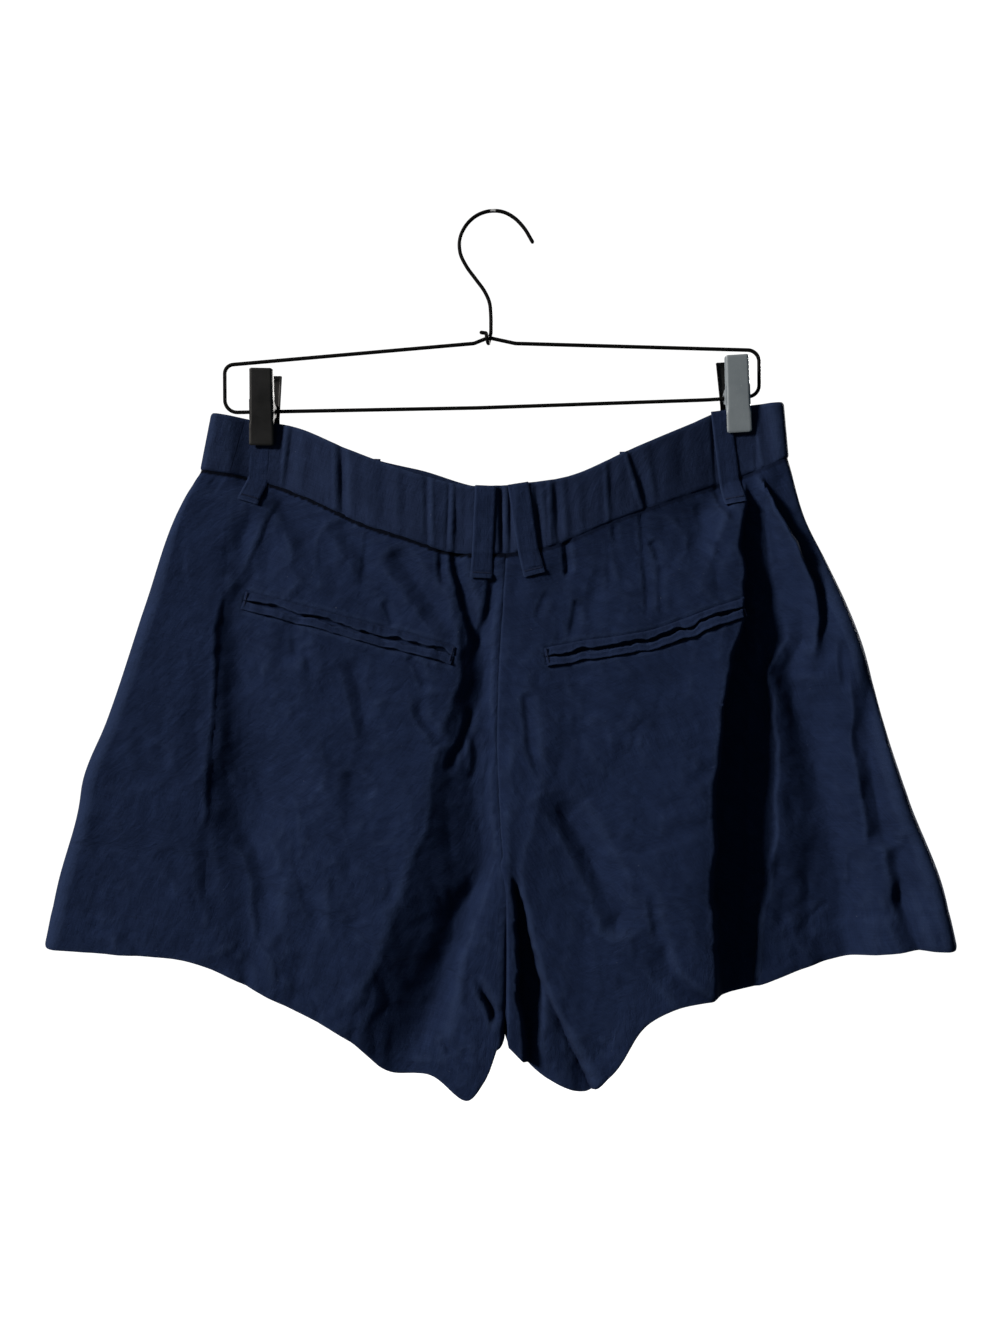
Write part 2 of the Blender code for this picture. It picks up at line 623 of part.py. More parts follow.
def make_back_loops(spec, grid, normal, strips, mat):
    cloud = panel_cloud(strips, "back")
    xs = grid[:, 1:3, 0].mean(axis=1)
    for name, top, tail in BACK_LOOPS:
        centre = top + (tail - top) * 0.37
        i = int(np.argmin(np.abs(xs - (centre - LOOP_WIDE / 2))))
        k = int(np.argmin(np.abs(xs - (centre + LOOP_WIDE / 2))))
        out = BAND / 2 + GAP + LOOP / 2
        block = grid[i:k + 1] + normal[i:k + 1] * out
        lean = (tail - top) / (43.0 + LOOP_TAIL)
        low = loop_tail(cloud, "back", block[:, -1], block[:, -1, 0], lean)
        block = np.concatenate([block, low], axis=1)
        facing = np.zeros_like(block)
        facing[..., 1] = -1.0
        facing[:, :len(BAND_ROWS)] = normal[i:k + 1]
        shell(name, block, unit(facing), LOOP, mat)


def make_front_loops(strips, mat):
    cloud = panel_cloud(strips, "front")
    for name, top, tail in FRONT_LOOPS:
        side = "L" if top < CENTRE_X else "R"
        rows = np.array(BAND_ROWS)
        u = band_xi(side, top)
        step = LOOP_WIDE / 2 / 195.0
        columns = (u - step, u, u + step) if side == "L" else (u + step, u, u - step)
        grid = np.array([band_point(side, "front", np.full_like(rows, c), rows) for c in columns])
        grid[..., 1] += BAND / 2 + GAP + LOOP / 2 + 0.25
        low = loop_tail(cloud, "front", grid[:, -1], grid[:, -1, 0], 0.0)
        block = np.concatenate([grid, low], axis=1)
        facing = np.zeros_like(block)
        facing[..., 1] = 1.0
        shell(name, block, facing, LOOP, mat)


# ---------------------------------------------------------------- pockets, fly, button
def make_welts(side, grid, normal, seam, mat):
    """Upper and lower lip of a back pocket, taken from the panel's own cells and moved out."""
    rows = ROWS.index("upper")
    x = grid[seam:, rows, 0]
    outer, inner = {"L": (-160.0, -27.0), "R": (155.0, 32.0)}[side]
    i = seam + int(np.argmin(np.abs(x - outer)))
    k = seam + int(np.argmin(np.abs(x - inner)))
    out = CLOTH / 2 + GAP + LIP / 2
    name = "left" if side == "L" else "right"
    shell("welt_%s_upper" % name, grid[i:k + 1, rows:rows + 2], normal[i:k + 1, rows:rows + 2], LIP, mat, out)
    shell("welt_%s_lower" % name, grid[i:k + 1, rows + 2:rows + 4], normal[i:k + 1, rows + 2:rows + 4], LIP,
          mat, out)


def make_fly(strips, mat):
    """The fly's facing, on the wearer's right front panel beside the centre seam."""
    half, grid, normal, seam = strips["R"]
    block = grid[0:7, 0:11].copy()
    facing = normal[0:7, 0:11].copy()
    block[0, :, 0] += 0.6
    block[:, 0, 2] -= 0.6
    shell("fly_facing", block, facing, LIP, mat, CLOTH / 2 + GAP + LIP / 2)


def make_button(mat):
    """A plain disc on the lap of the front band."""
    x = CENTRE_X - 11.0
    u = band_xi("L", x)
    p = band_point("L", "front", np.array([u]), np.array([0.5]))[0]
    y0 = p[1] + (BAND + GAP) + BAND / 2 + GAP + 0.25
    n = 24
    verts = [(p[0], y0, p[2]), (p[0], y0 + 2.4, p[2])]
    rings = [(BUTTON_R - 0.6, 0.0), (BUTTON_R, 0.6), (BUTTON_R, 1.8), (BUTTON_R - 0.6, 2.4)]
    for r, dy in rings:
        verts += [(p[0] + r * math.cos(2 * math.pi * i / n), y0 + dy, p[2] + r * math.sin(2 * math.pi * i / n))
                  for i in range(n)]
    faces = []
    for i in range(n):
        j = (i + 1) % n
        faces.append((0, 2 + j, 2 + i))
        for k in range(3):
            a, b = 2 + k * n, 2 + (k + 1) * n
            faces += [(a + i, a + j, b + j), (a + i, b + j, b + i)]
        faces.append((1, 2 + 3 * n + i, 2 + 3 * n + j))
    made = add("waist_button", verts, faces, mat)
    if signed_volume(verts, faces) < 0:
        made.data.flip_normals()


# ---------------------------------------------------------------- hanger
def rounded(points, radii, closed, steps=6):
    """The corners of a flat polyline (x, z) replaced by arcs."""
    out = []
    n = len(points)
    for i in range(n):
        if not closed and i in (0, n - 1):
            out.append(np.array(points[i], float))
            continue
        p = np.array(points[i], float)
        a = unit(np.array(points[i - 1], float) - p)
        b = unit(np.array(points[(i + 1) % n], float) - p)
        half = math.acos(max(-1, min(1, float(a @ b)))) / 2
        run = radii[i] / math.tan(half)
        centre = p + unit(a + b) * radii[i] / math.sin(half)
        start = p + a * run - centre
        end = p + b * run - centre
        turn = math.atan2(start[0] * end[1] - start[1] * end[0], float(start @ end))
        for s in range(steps + 1):
            w = turn * s / steps
            out.append(centre + np.array([start[0] * math.cos(w) - start[1] * math.sin(w),
                                          start[0] * math.sin(w) + start[1] * math.cos(w)]))
    return out


def tube(name, path, radius, mat, closed=False, sides=12):
    """A wire along a path of (x, y, z), with rounded ends when it is open."""
    p = np.array(path, float)
    n = len(p)
    ahead = np.roll(p, -1, axis=0) - np.roll(p, 1, axis=0) if closed else np.gradient(p, axis=0)
    ahead = unit(ahead)
    side = unit(np.cross(ahead[0], [0.0, 1.0, 0.0]) if abs(ahead[0][1]) < 0.9 else np.array([1.0, 0, 0]))
    frames = []
    for i in range(n):
        side = unit(side - ahead[i] * (side @ ahead[i]))
        frames.append((side, np.cross(ahead[i], side)))
    rings = []
    if not closed:
        rings += [(p[0] - ahead[0] * radius * 0.8, frames[0], 0.5), (p[0] - ahead[0] * radius * 0.4, frames[0], 0.87)]
    rings += [(p[i], frames[i], 1.0) for i in range(n)]
    if not closed:
        rings += [(p[-1] + ahead[-1] * radius * 0.4, frames[-1], 0.87),
                  (p[-1] + ahead[-1] * radius * 0.8, frames[-1], 0.5)]
    verts = []
    for centre, (u, v), share in rings:
        for s in range(sides):
            w = 2 * math.pi * s / sides
            verts.append(centre + (u * math.cos(w) + v * math.sin(w)) * radius * share)
    faces = []
    m = len(rings)
    for i in range(m if closed else m - 1):
        for s in range(sides):
            a, b = i * sides + s, i * sides + (s + 1) % sides
            c, d = ((i + 1) % m) * sides + s, ((i + 1) % m) * sides + (s + 1) % sides
            faces += [(a, b, d), (a, d, c)]
    if not closed:
        verts += [p[0] - ahead[0] * radius, p[-1] + ahead[-1] * radius]
        first, last = len(verts) - 2, len(verts) - 1
        for s in range(sides):
            faces.append((first, (s + 1) % sides, s))
            faces.append((last, (m - 1) * sides + s, (m - 1) * sides + (s + 1) % sides))
    made = add(name, verts, faces, mat, 60.0)
    if signed_volume(verts, faces) < 0:
        made.data.flip_normals()
    return made


FRAME_CORNERS = [(-5.6, -81.2), (-15.0, -85.0), (-177.2, -99.2), (-177.0, -130.0), (-12.0, -126.9),
                 (140.0, -121.6), (170.6, -119.0), (170.5, -89.5), (12.0, -85.0)]
FRAME_RADII = [5, 7, 7, 9, 400, 300, 9, 9, 9]
HOOK_PATH = [(23.1, -18.9), (17.2, -9.3), (10.9, -3.0), (3.6, 0.7), (-1.6, 1.35), (-7.2, 0.7), (-12.6, -1.4),
             (-19.9, -7.8), (-24.2, -17.4), (-23.9, -26.2), (-19.9, -34.8), (-13.8, -43.2), (-7.8, -51.6),
             (-5.0, -58.0), (-4.0, -67.0), (-3.9, -74.2)]


def rod_z(x):
    rows = FRAME_CORNERS[3:7]
    return float(np.interp(x, [r[0] for r in rows], [r[1] for r in rows]))


def make_hanger(mat):
    loop = rounded(FRAME_CORNERS, FRAME_RADII, True)
    tube("hanger_frame", [(q[0], 0.0, q[1]) for q in loop], WIRE, mat, closed=True)
    # the hook: from the tip over the top and down the left to the neck, the shank and the eye
    line = Line(HOOK_PATH).at(np.linspace(0, 1, 46))
    path = [(float(a), 0.0, float(b)) for a, b in line]
    eye_r = WIRE * 2 + 0.9
    centre = (-3.9, -81.5)
    path.append((-3.9, 0.0, centre[1] + eye_r + 2.2))
    for i in range(1, 12):
        w = math.radians(90 - 29 * i)
        path.append((-3.9 - 0.31 * i, eye_r * math.cos(w), centre[1] + eye_r * math.sin(w)))
    tube("hanger_hook", path, WIRE, mat)


PLATE = 1.0
CLIP_WIDE = 14.6
FAR_WIDE = 13.6
CLIP_TALL = 48.5
LEVER = 24.6              # height of a plate above the rod


def prism(outline, x0, x1):
    """A flat outline (y, z) drawn out along X, as vertices and faces."""
    n = len(outline)
    verts = [(x0, y, z) for y, z in outline] + [(x1, y, z) for y, z in outline]
    faces = [tuple(range(n - 1, -1, -1)), tuple(range(n, 2 * n))]
    faces += [(i, (i + 1) % n, n + (i + 1) % n, n + i) for i in range(n)]
    return verts, faces


def boolean(base, other, how):
    mod = base.modifiers.new("join", "BOOLEAN")
    mod.operation = how
    mod.solver = "EXACT"
    mod.object = other
    bpy.context.view_layer.objects.active = base
    with bpy.context.temp_override(object=base, active_object=base):
        bpy.ops.object.modifier_apply(modifier=mod.name)
    bpy.data.objects.remove(other, do_unlink=True)


def make_plate(name, facing, wide, ear, shift, mat):
    """One plate of a clip at x = 0, its rod at (0, 0): pad below, lever above, an ear each side of the rod."""
    top, low = LEVER, -CLIP_TALL + LEVER
    pad = 4.9 if facing < 0 else 3.2
    lean = 12.0
    outer = [(facing * (lean + PLATE), top), (facing * (pad + PLATE + 1.2), low + 9), (facing * (pad + PLATE), low)]
    inner = [(facing * pad, low), (facing * (pad + 1.2), low + 9.4), (facing * lean, top)]
    verts, faces = prism(outer + inner, -wide / 2 + shift, wide / 2 + shift)
    plate = add(name, verts, faces, mat, 30.0)
    plate.data.flip_normals() if mesh_volume(plate) < 0 else None
    bend = [facing * (0.5 + pad + 1.2 + (lean - pad - 1.2) * (z - low - 9.4) / (top - low - 9.4)) for z in (6.5, -6.5)]
    for k in (-1, 1):
        x0 = k * ear + shift
        ring = [(-facing * 3.4 * math.cos(a), 3.4 * math.sin(a)) for a in
                [math.radians(d) for d in (90, 60, 30, 0, -30, -60, -90)]]
        outline = [(bend[0], 6.5)] + ring + [(bend[1], -6.5)]
        v, f = prism(outline, x0 - PLATE / 2, x0 + PLATE / 2)
        tab = add(name + "_ear", v, f, mat, 30.0)
        if mesh_volume(tab) < 0:
            tab.data.flip_normals()
        boolean(plate, tab, "UNION")
    n = 16
    hole = [(2.0 * math.cos(2 * math.pi * i / n), 2.0 * math.sin(2 * math.pi * i / n)) for i in range(n)]
    v, f = prism(hole, -CLIP_WIDE + shift, CLIP_WIDE + shift)
    drill = add(name + "_drill", v, f, mat)
    if mesh_volume(drill) < 0:
        drill.data.flip_normals()
    boolean(plate, drill, "DIFFERENCE")
    return plate


def mesh_volume(made):
    verts = np.array([v.co[:] for v in made.data.vertices])
    total = 0.0
    for poly in made.data.polygons:
        ids = list(poly.vertices)
        for a, b in zip(ids[1:-1], ids[2:]):
            total += float(np.dot(verts[ids[0]], np.cross(verts[a], verts[b])))
    return total / 6


def make_clips(mat_left, mat_right, mat_spring):
    for side, x, mat, tilt, inward in (("left", CLIP_X[0], mat_left, 1.0, 1), ("right", CLIP_X[1], mat_right, -4.0, -1)):
        place = (x * MM, 0.0, rod_z(x) * MM)
        front = make_plate("clip_%s_plate_near" % side, -1, CLIP_WIDE, CLIP_WIDE / 2 - PLATE / 2, 0.0, mat)
        rear = make_plate("clip_%s_plate_far" % side, 1, FAR_WIDE, CLIP_WIDE / 2 - 3 * PLATE,
                          FAR_SHIFT * inward, mat)
        for plate in (front, rear):
            plate.location = place
            plate.rotation_euler = (0.0, math.radians(tilt), 0.0)
        turns = 3
        path = []
        for i in range(turns * 10 + 1):
            w = 2 * math.pi * i / 10
            path.append((inward * FAR_SHIFT - 2.6 + 5.2 * i / (turns * 10), 2.5 * math.cos(w), 2.5 * math.sin(w)))
        spring = tube("clip_%s_spring" % side, path, 0.55, mat_spring, sides=6)
        spring.location = place
        spring.rotation_euler = (0.0, math.radians(tilt), 0.0)


# ---------------------------------------------------------------- build
def build():
    def linen(name, light=1.0):
        return material(name, tuple(c * light for c in LINEN), 0.86)

    strips = {}
    for side, word in (("L", "left"), ("R", "right")):
        strips[side] = make_leg(side, linen("linen_front_" + word), linen("linen_back_" + word))
    spec, grid, normal = make_bands(linen("linen_band_back"), linen("linen_band_front"))
    make_back_loops(spec, grid, normal, strips, linen("linen_loop"))
    make_front_loops(strips, linen("linen_loop"))
    for side in ("L", "R"):
        _, leg, facing, seam = strips[side]
        make_welts(side, leg, facing, seam, linen("linen_welt"))
    make_fly(strips, linen("linen_fly"))
    make_button(material("button", (0.03, 0.035, 0.05), 0.35))
    wire = material("wire_black", (0.012, 0.012, 0.013), 0.42, 0.0)
    make_hanger(wire)
    make_clips(material("clip_black", (0.014, 0.014, 0.014), 0.4, 0.0),
               material("clip_grey", (0.11, 0.13, 0.14), 0.38, 0.6), material("spring_steel", (0.4, 0.4, 0.4), 0.3, 1.0))


build()
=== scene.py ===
import math

import bpy
import numpy as np
from mathutils import Matrix, Vector


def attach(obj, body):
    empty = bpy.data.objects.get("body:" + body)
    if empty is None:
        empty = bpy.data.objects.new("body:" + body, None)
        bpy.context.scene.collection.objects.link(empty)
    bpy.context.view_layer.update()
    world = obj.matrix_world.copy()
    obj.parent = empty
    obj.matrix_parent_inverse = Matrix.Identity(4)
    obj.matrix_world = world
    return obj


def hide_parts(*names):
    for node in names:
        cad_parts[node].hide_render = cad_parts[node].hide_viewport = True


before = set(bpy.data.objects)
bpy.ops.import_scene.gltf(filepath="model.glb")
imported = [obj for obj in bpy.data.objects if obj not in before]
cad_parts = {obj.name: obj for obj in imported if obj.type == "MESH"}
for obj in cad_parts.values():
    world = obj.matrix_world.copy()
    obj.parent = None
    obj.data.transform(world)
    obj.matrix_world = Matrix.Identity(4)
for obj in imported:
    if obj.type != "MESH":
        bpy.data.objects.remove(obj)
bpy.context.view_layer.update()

MM = 0.001
WORD = {"L": "left", "R": "right"}

# cloth
GAP = 0.3                   # between neighbouring pieces at a seam
CLOTH = 1.2                 # one layer
HEM_CLOTH = 1.7             # the turned-up hem
HEM_DEEP = 25.0
BAND = 2.4                  # the double waistband
LOOP = 1.25
LOOP_WIDE = 13.2
LOOP_ON_BAND = 44.0
LOOP_TAIL = 15.0            # the end sewn down below the waist seam
CENTRE_X = 5.8              # the centre seam at the waist
CROTCH_Z = (-415.0, -465.0)  # where the legs part, and where the inseam has closed each leg
RIM_BAND = 4.0              # width of the turn round the garment's edge, at the band
RIM_LEG = 11.0              # the same, down the legs
OPEN_BACK = 21.0            # how far the waist stands out behind the hanger's plane
OPEN_FRONT = 20.0           # and in front of it
PINCHED = 1.35              # how far it stands out where a clip grips it
FRONT_RISE = 4.0            # how far the front band shows above the back one

# folds: what the tables of folds are multiplied by
FOLD_DEEP = 0.85
FOLD_WIDE_LEFT = 1.3
FOLD_WIDE_RIGHT = 1.6
FOLD_KEEN = 0.6

# hanger
WIRE = 1.22                 # radius
CLIP_X = (-151.8, 155.4)
PAD_HALF = 8.0              # half the width that a clip presses flat
FAR_SHIFT = 1.2             # a clip's far plate stands this much nearer the middle

# ---------------------------------------------------------------- outlines: rows of (x, z), outer side first
TOP_EDGE = {
    "L": [(-184.6, -131), (-160, -135), (-133.5, -139.4), (-94, -156.5), (-55, -171.3), (-17, -180.5),
          (CENTRE_X, -180.2)],
    "R": [(185.3, -124), (148, -128.5), (124.5, -138.8), (85, -156.5), (46.4, -173.9), (CENTRE_X, -180.2)]}
WAIST_SEAM = {
    "L": [(-191.8, -168.2), (-159.3, -173.5), (-124, -186), (-82.6, -205.5), (-55, -214.5), (-33.5, -222),
          (CENTRE_X, -224.3)],
    "R": [(188.5, -160), (167, -169), (120, -186), (72, -203.5), (35, -219), (CENTRE_X, -224.3)]}
RIM = {
    "L": [(-191.8, -168.2), (-208, -200), (-225.5, -252), (-251, -330), (-266.5, -370), (-268.5, -384),
          (-282, -434), (-290, -473)],
    "R": [(188.5, -160), (200, -200), (212.5, -226), (234, -278), (247.5, -330), (264, -382), (284, -434),
          (292.5, -473)]}
CENTRE = {
    "L": [(CENTRE_X, -224.3), (2.6, -271), (0.7, -309), (0.0, -345), (2.6, -403), (3.8, -423), (3.4, -465),
          (1.9, -531.5)],
    "R": [(CENTRE_X, -224.3), (2.6, -271), (0.7, -309), (0.0, -345), (2.6, -403), (3.8, -423), (3.9, -465),
          (3.0, -531.5)]}
HEM_BACK = {
    "L": [(-290, -473), (-244, -476.5), (-193, -481.7), (-143, -504.5), (-92, -531.5), (-67, -553.3),
          (-42, -554.5), (-17, -569), (-8.3, -558), (1.9, -531.5)],
    "R": [(292.5, -473), (262.5, -475.4), (210, -486), (148.9, -504.4), (109.4, -509.8), (96.6, -516.8),
          (71.2, -554), (58.6, -565.5), (33.8, -558), (3.0, -531.5)]}
HEM_FRONT = {
    "L": [(-290, -473), (-244, -472), (-193, -477), (-143, -494), (-92, -516), (-45, -538), (-17, -545),
          (1.9, -531.5)],
    "R": [(292.5, -473), (262.5, -472), (210, -479), (149, -492), (100, -510), (60, -538), (34, -545),
          (3.0, -531.5)]}
SIDE_SEAM = {"L": [(-172, -150), (-173.5, -250), (-177, -300), (-180, -348), (-182.5, -391), (-188, -500)],
             "R": [(173, -150), (174.5, -250), (177, -311), (175.5, -424), (169, -510)]}

# ---------------------------------------------------------------- form, folds, gathers and loops
# The panels are lofted through named lines that run down them: rows of (z, x, depth), where depth is how far
# the cloth stands out from the hanger's plane.
FORM_BACK = [
    ("left rim", [(-170, -190, 10), (-200, -208, 16), (-250, -225, 21.5), (-330, -251, 25.5),
     (-400, -272, 27),
                  (-475, -290, 27)]),
    ("left panel", [(-170, -178, 9.5), (-200, -186, 14), (-250, -203, 20), (-330, -220, 24),
     (-400, -238, 25.4),
                    (-475, -250, 26)]),
    ("left crest", [(-180, -139, 5.5), (-187, -141, 7.5), (-200, -149, 11.4), (-215, -154, 14),
     (-230, -160, 15.8),
                    (-240, -168, 17), (-250, -175, 18.4), (-258, -178, 19.4), (-270, -179.5, 20.6),
                    (-300, -180, 22.4), (-342, -182.5, 23.6), (-360, -185.5, 24), (-388, -186, 23.8),
                    (-402, -189.5, 24), (-420, -190, 24.6), (-440, -188, 25), (-460, -184, 25),
                     (-490, -180, 25)]),
    ("left step", [(-180, -136.6, 4.8), (-187, -137.8, 6), (-200, -145.4, 9.4), (-215, -150.8, 12),
                   (-230, -156.6, 14), (-240, -163, 15.8), (-250, -170.8, 16.6), (-258, -173.6, 16.8),
                   (-270, -175, 18), (-300, -175.8, 20), (-342, -178, 21.2), (-360, -181, 21.6),
                   (-388, -181, 21.6), (-402, -184, 22.8), (-420, -184, 23.6), (-440, -182, 24.4),
                   (-460, -178, 24.8), (-490, -173, 25)]),
    ("left hollow", [(-180, -127, 6.6), (-200, -137, 9.6), (-215, -142, 11.4), (-230, -149, 13),
                     (-240, -158, 14.4), (-250, -166, 15), (-260, -168, 15), (-275, -165, 14.6),
                     (-290, -162, 14.2), (-300, -161, 14.2), (-330, -160.5, 14.6), (-345, -158.5, 14.2),
                     (-360, -155, 13.4), (-380, -152.5, 14), (-393, -154, 16), (-408, -157, 18.4),
                     (-440, -161, 20.6), (-490, -160, 23.6)]),
    ("left seat edge", [(-185, -118, 9.5), (-200, -124, 13), (-230, -135, 15.4), (-250, -151, 15.8),
                        (-270, -149, 16.6), (-300, -146, 17.8), (-330, -144, 17.6), (-360, -134, 16.6),
                        (-400, -134, 20.8), (-440, -138, 23), (-490, -140, 25)]),
    ("left seat", [(-195, -108, 14.4), (-230, -113, 18.6), (-270, -119, 20), (-300, -120, 20.6),
     (-350, -114, 22.4),
                   (-400, -107, 25), (-440, -106, 26.6), (-520, -116, 27)]),
    ("seat dip", [(-205, -78, 17), (-250, -82, 20.6), (-300, -86, 21.4), (-350, -84, 23), (-400, -82, 26),
                  (-440, -90, 27.6), (-500, -102, 28)]),
    ("inner crest", [(-225, -32, 20.5), (-250, -30, 22), (-275, -26, 23), (-300, -25, 24), (-320, -30, 24.8),
                     (-332, -35, 25.2), (-345, -39, 25.8), (-365, -42, 26.8), (-390, -45, 28),
                      (-400, -48, 28.6),
                     (-410, -54, 29.2), (-430, -60, 30), (-445, -66, 30.4), (-465, -70.5, 30.4),
                     (-480, -77, 30), (-497, -85, 29.4), (-515, -94, 28.6), (-535, -100, 28)]),
    ("inner foot", [(-225, -26, 19.8), (-250, -24, 20.6), (-275, -20, 20), (-300, -19, 20.4),
                    (-320, -25.5, 22.8), (-332, -31, 23.8), (-345, -35, 24.4), (-365, -37.5, 25),
                     (-390, -40, 26),
                    (-400, -43, 26.4), (-410, -48, 26.8), (-430, -53.5, 27.4), (-445, -59, 27.8),
                    (-465, -63, 27.6), (-480, -69, 27.4), (-497, -77, 26.8), (-515, -85, 26.6),
                    (-535, -92, 27)]),
    ("valley shelf", [(-225, -18, 20), (-250, -17, 20), (-275, -14.5, 17.4), (-300, -13, 16.4),
     (-320, -18, 18.6),
                      (-332, -24, 20.6), (-345, -26.5, 20.8), (-365, -27, 20.4), (-390, -28, 20.2),
                       (-410, -31, 20),
                      (-430, -35, 20.6), (-445, -42, 21.4), (-465, -48, 21.8), (-480, -54, 21.6),
                       (-495, -60, 20.8),
                      (-510, -66, 20.4), (-530, -73, 20.2), (-545, -77, 20.8)]),
    ("valley floor", [(-225, -11, 21), (-250, -10, 20.4), (-275, -9, 17.6), (-300, -8, 15.4),
     (-320, -10, 16.2),
                      (-345, -12, 16.8), (-365, -13, 17), (-385, -14, 16), (-400, -12, 14.8),
                       (-410, -11, 14.4),
                      (-430, -13, 13.4), (-445, -19, 13), (-465, -27, 12.6), (-480, -32, 11.8),
                       (-495, -36, 11),
                      (-510, -41, 11), (-530, -50, 13), (-545, -58, 16)]),
    ("strip foot", [(-225, -5, 20.4), (-250, -5, 20), (-275, -5.5, 18.4), (-300, -4.8, 17.2),
     (-345, -5.6, 18),
                    (-385, -7.4, 17), (-400, -6, 16.4), (-410, -5.4, 16), (-430, -8.5, 15.4),
                     (-445, -14.5, 14.6),
                    (-465, -22, 13.8), (-480, -27, 13), (-495, -30.5, 12.4), (-510, -35, 12.6),
                     (-530, -42, 15.2),
                    (-545, -48, 18.6)]),
    ("strip", [(-225, 0, 21), (-300, -1.5, 20.2), (-345, -2, 20.6), (-385, -2.4, 21.2), (-410, -0.6, 22.2),
               (-430, -3.4, 22.4), (-445, -8.5, 21.8), (-465, -15.5, 21.2), (-480, -20, 20.6),
                (-495, -23.5, 20.2),
               (-510, -26, 20.4), (-560, -28, 23)]),
    ("centre", [(-225, 5, 20.2), (-300, 2.5, 20.8), (-385, 3, 22.4), (-410, 4, 24.4), (-430, 3, 25),
                (-445, 1, 25), (-465, -3, 24.4), (-480, -5, 24), (-495, -6, 23.6), (-540, -6, 24)]),
    ("thigh crest", [(-225, 12, 20.5), (-300, 9, 21.5), (-385, 9, 24.5), (-425, 8, 26), (-440, 9, 26.2),
                     (-460, 9.8, 26), (-480, 11, 26), (-500, 12, 25.8), (-520, 13.5, 25.4), (-535, 16, 25)]),
    ("thigh foot", [(-225, 16, 20.7), (-300, 14, 22), (-385, 12.5, 25), (-425, 10.5, 25.4), (-440, 12, 18),
                    (-460, 12.8, 14.5), (-480, 14.4, 12), (-500, 15.4, 10.5), (-520, 17, 11),
                     (-535, 20, 14)]),
    ("thigh floor", [(-225, 22, 21), (-300, 20, 23), (-385, 18, 25.5), (-425, 12.6, 25.4), (-440, 13.6, 18.5),
                     (-460, 16.6, 14.8), (-480, 21.4, 12.6), (-500, 26.6, 11.8), (-510, 27, 14),
                      (-520, 26.4, 15.6),
                     (-535, 26, 16.4), (-550, 28, 16.8)]),
    ("corner ridge", [(-225, 25, 21.4), (-300, 23, 23.4), (-385, 21, 26), (-425, 13.8, 26), (-440, 15, 21.5),
                      (-460, 18.4, 19.2), (-480, 24, 18.4), (-500, 29, 18), (-510, 30, 17.4),
                       (-520, 30, 17.4),
                      (-535, 30.6, 17.8), (-550, 33.4, 18.2), (-566, 42, 18.6)]),
    ("corner foot", [(-225, 27.5, 21.7), (-300, 25.5, 23.7), (-385, 23.5, 26.5), (-425, 14.9, 26.5),
                     (-440, 16.2, 24), (-460, 19.6, 22.5), (-480, 25.6, 22), (-500, 30.6, 21.4),
                      (-510, 34, 17),
                     (-520, 38.6, 15.4), (-535, 47, 14.6), (-550, 54, 14.8), (-566, 62, 16)]),
    ("thigh edge", [(-225, 30, 22), (-300, 28, 24), (-385, 26, 27), (-425, 16, 27), (-440, 17.5, 26.5),
                    (-460, 21, 26), (-480, 27.5, 26), (-500, 32.8, 26), (-510, 37, 25.6), (-520, 42, 25),
                    (-535, 51, 24.6), (-550, 58, 24.4), (-566, 66, 24.4)]),
    ("leg face", [(-225, 48, 23), (-300, 52, 25.6), (-385, 50, 27.2), (-425, 44, 27), (-460, 46, 27.2),
                  (-500, 53, 27.6), (-520, 57, 27.4), (-535, 63, 27), (-566, 74, 26.6)]),
    ("right seat", [(-205, 75, 21), (-300, 82, 28.2), (-385, 87, 31.4), (-440, 87, 32.4), (-500, 87, 32.4)]),
    ("right shoulder", [(-176, 146, 4.4), (-190, 143, 10.5), (-200, 142, 14.4), (-220, 141, 19),
     (-250, 142, 22.6),
                        (-275, 139, 26.6), (-300, 133, 30), (-340, 128, 34.2), (-360, 124, 35.6),
                         (-440, 122, 36.6),
                        (-505, 124, 34.4)]),
    ("right crest", [(-170, 162.5, 3.4), (-176, 161, 6.4), (-190, 158.6, 11.4), (-205, 155.5, 15.4),
     (-220, 154, 18.8),
                     (-235, 155, 21), (-250, 156, 22.8), (-265, 155, 25), (-275, 152, 26.8),
                      (-285, 148, 28.6),
                     (-300, 144.5, 31), (-320, 141, 33.6), (-340, 137.5, 35.2), (-360, 135, 35.4),
                      (-400, 133.5, 35.6),
                     (-440, 133.5, 35.4), (-480, 134, 34), (-505, 136, 32.4)]),
    ("right foot", [(-170, 163.6, 2.2), (-176, 163.4, 2.2), (-190, 162.5, 2.4), (-205, 160, 2.6),
     (-220, 160, 3),
                    (-250, 161.5, 4), (-275, 158, 5), (-300, 151.5, 5.6), (-340, 145.5, 5.6),
                     (-360, 145, 5.4),
                    (-400, 144, 5.4), (-440, 144, 6.4), (-480, 144, 9), (-505, 145, 12)]),
    ("right floor", [(-170, 165, 2.2), (-176, 166.4, 2.4), (-190, 168.4, 2.6), (-205, 171, 2.9),
     (-220, 173.6, 3.4),
                     (-250, 177, 4.6), (-275, 180, 5), (-300, 168, 4.8), (-320, 168, 4.6), (-345, 167, 4.2),
                     (-375, 166, 3.8), (-400, 165, 3.6), (-440, 160, 4), (-480, 154, 6), (-505, 153, 9.4)]),
    ("right seam trough", [(-170, 165.8, 2.6), (-176, 167.6, 2.8), (-190, 170.8, 3.6), (-205, 174, 4.5),
                           (-220, 177.2, 5.4), (-250, 181, 6.8), (-275, 184.5, 7), (-300, 172.4, 6.2),
                           (-320, 175.8, 6.6), (-345, 177.6, 6.8), (-375, 178.2, 6.2), (-400, 177.4, 6),
                           (-440, 173, 6.4), (-480, 167, 8.4), (-505, 165.6, 11)]),
    ("right seam ridge", [(-170, 166.4, 3), (-176, 168.6, 3.4), (-190, 173, 4.8), (-205, 177, 6),
     (-220, 180.6, 7),
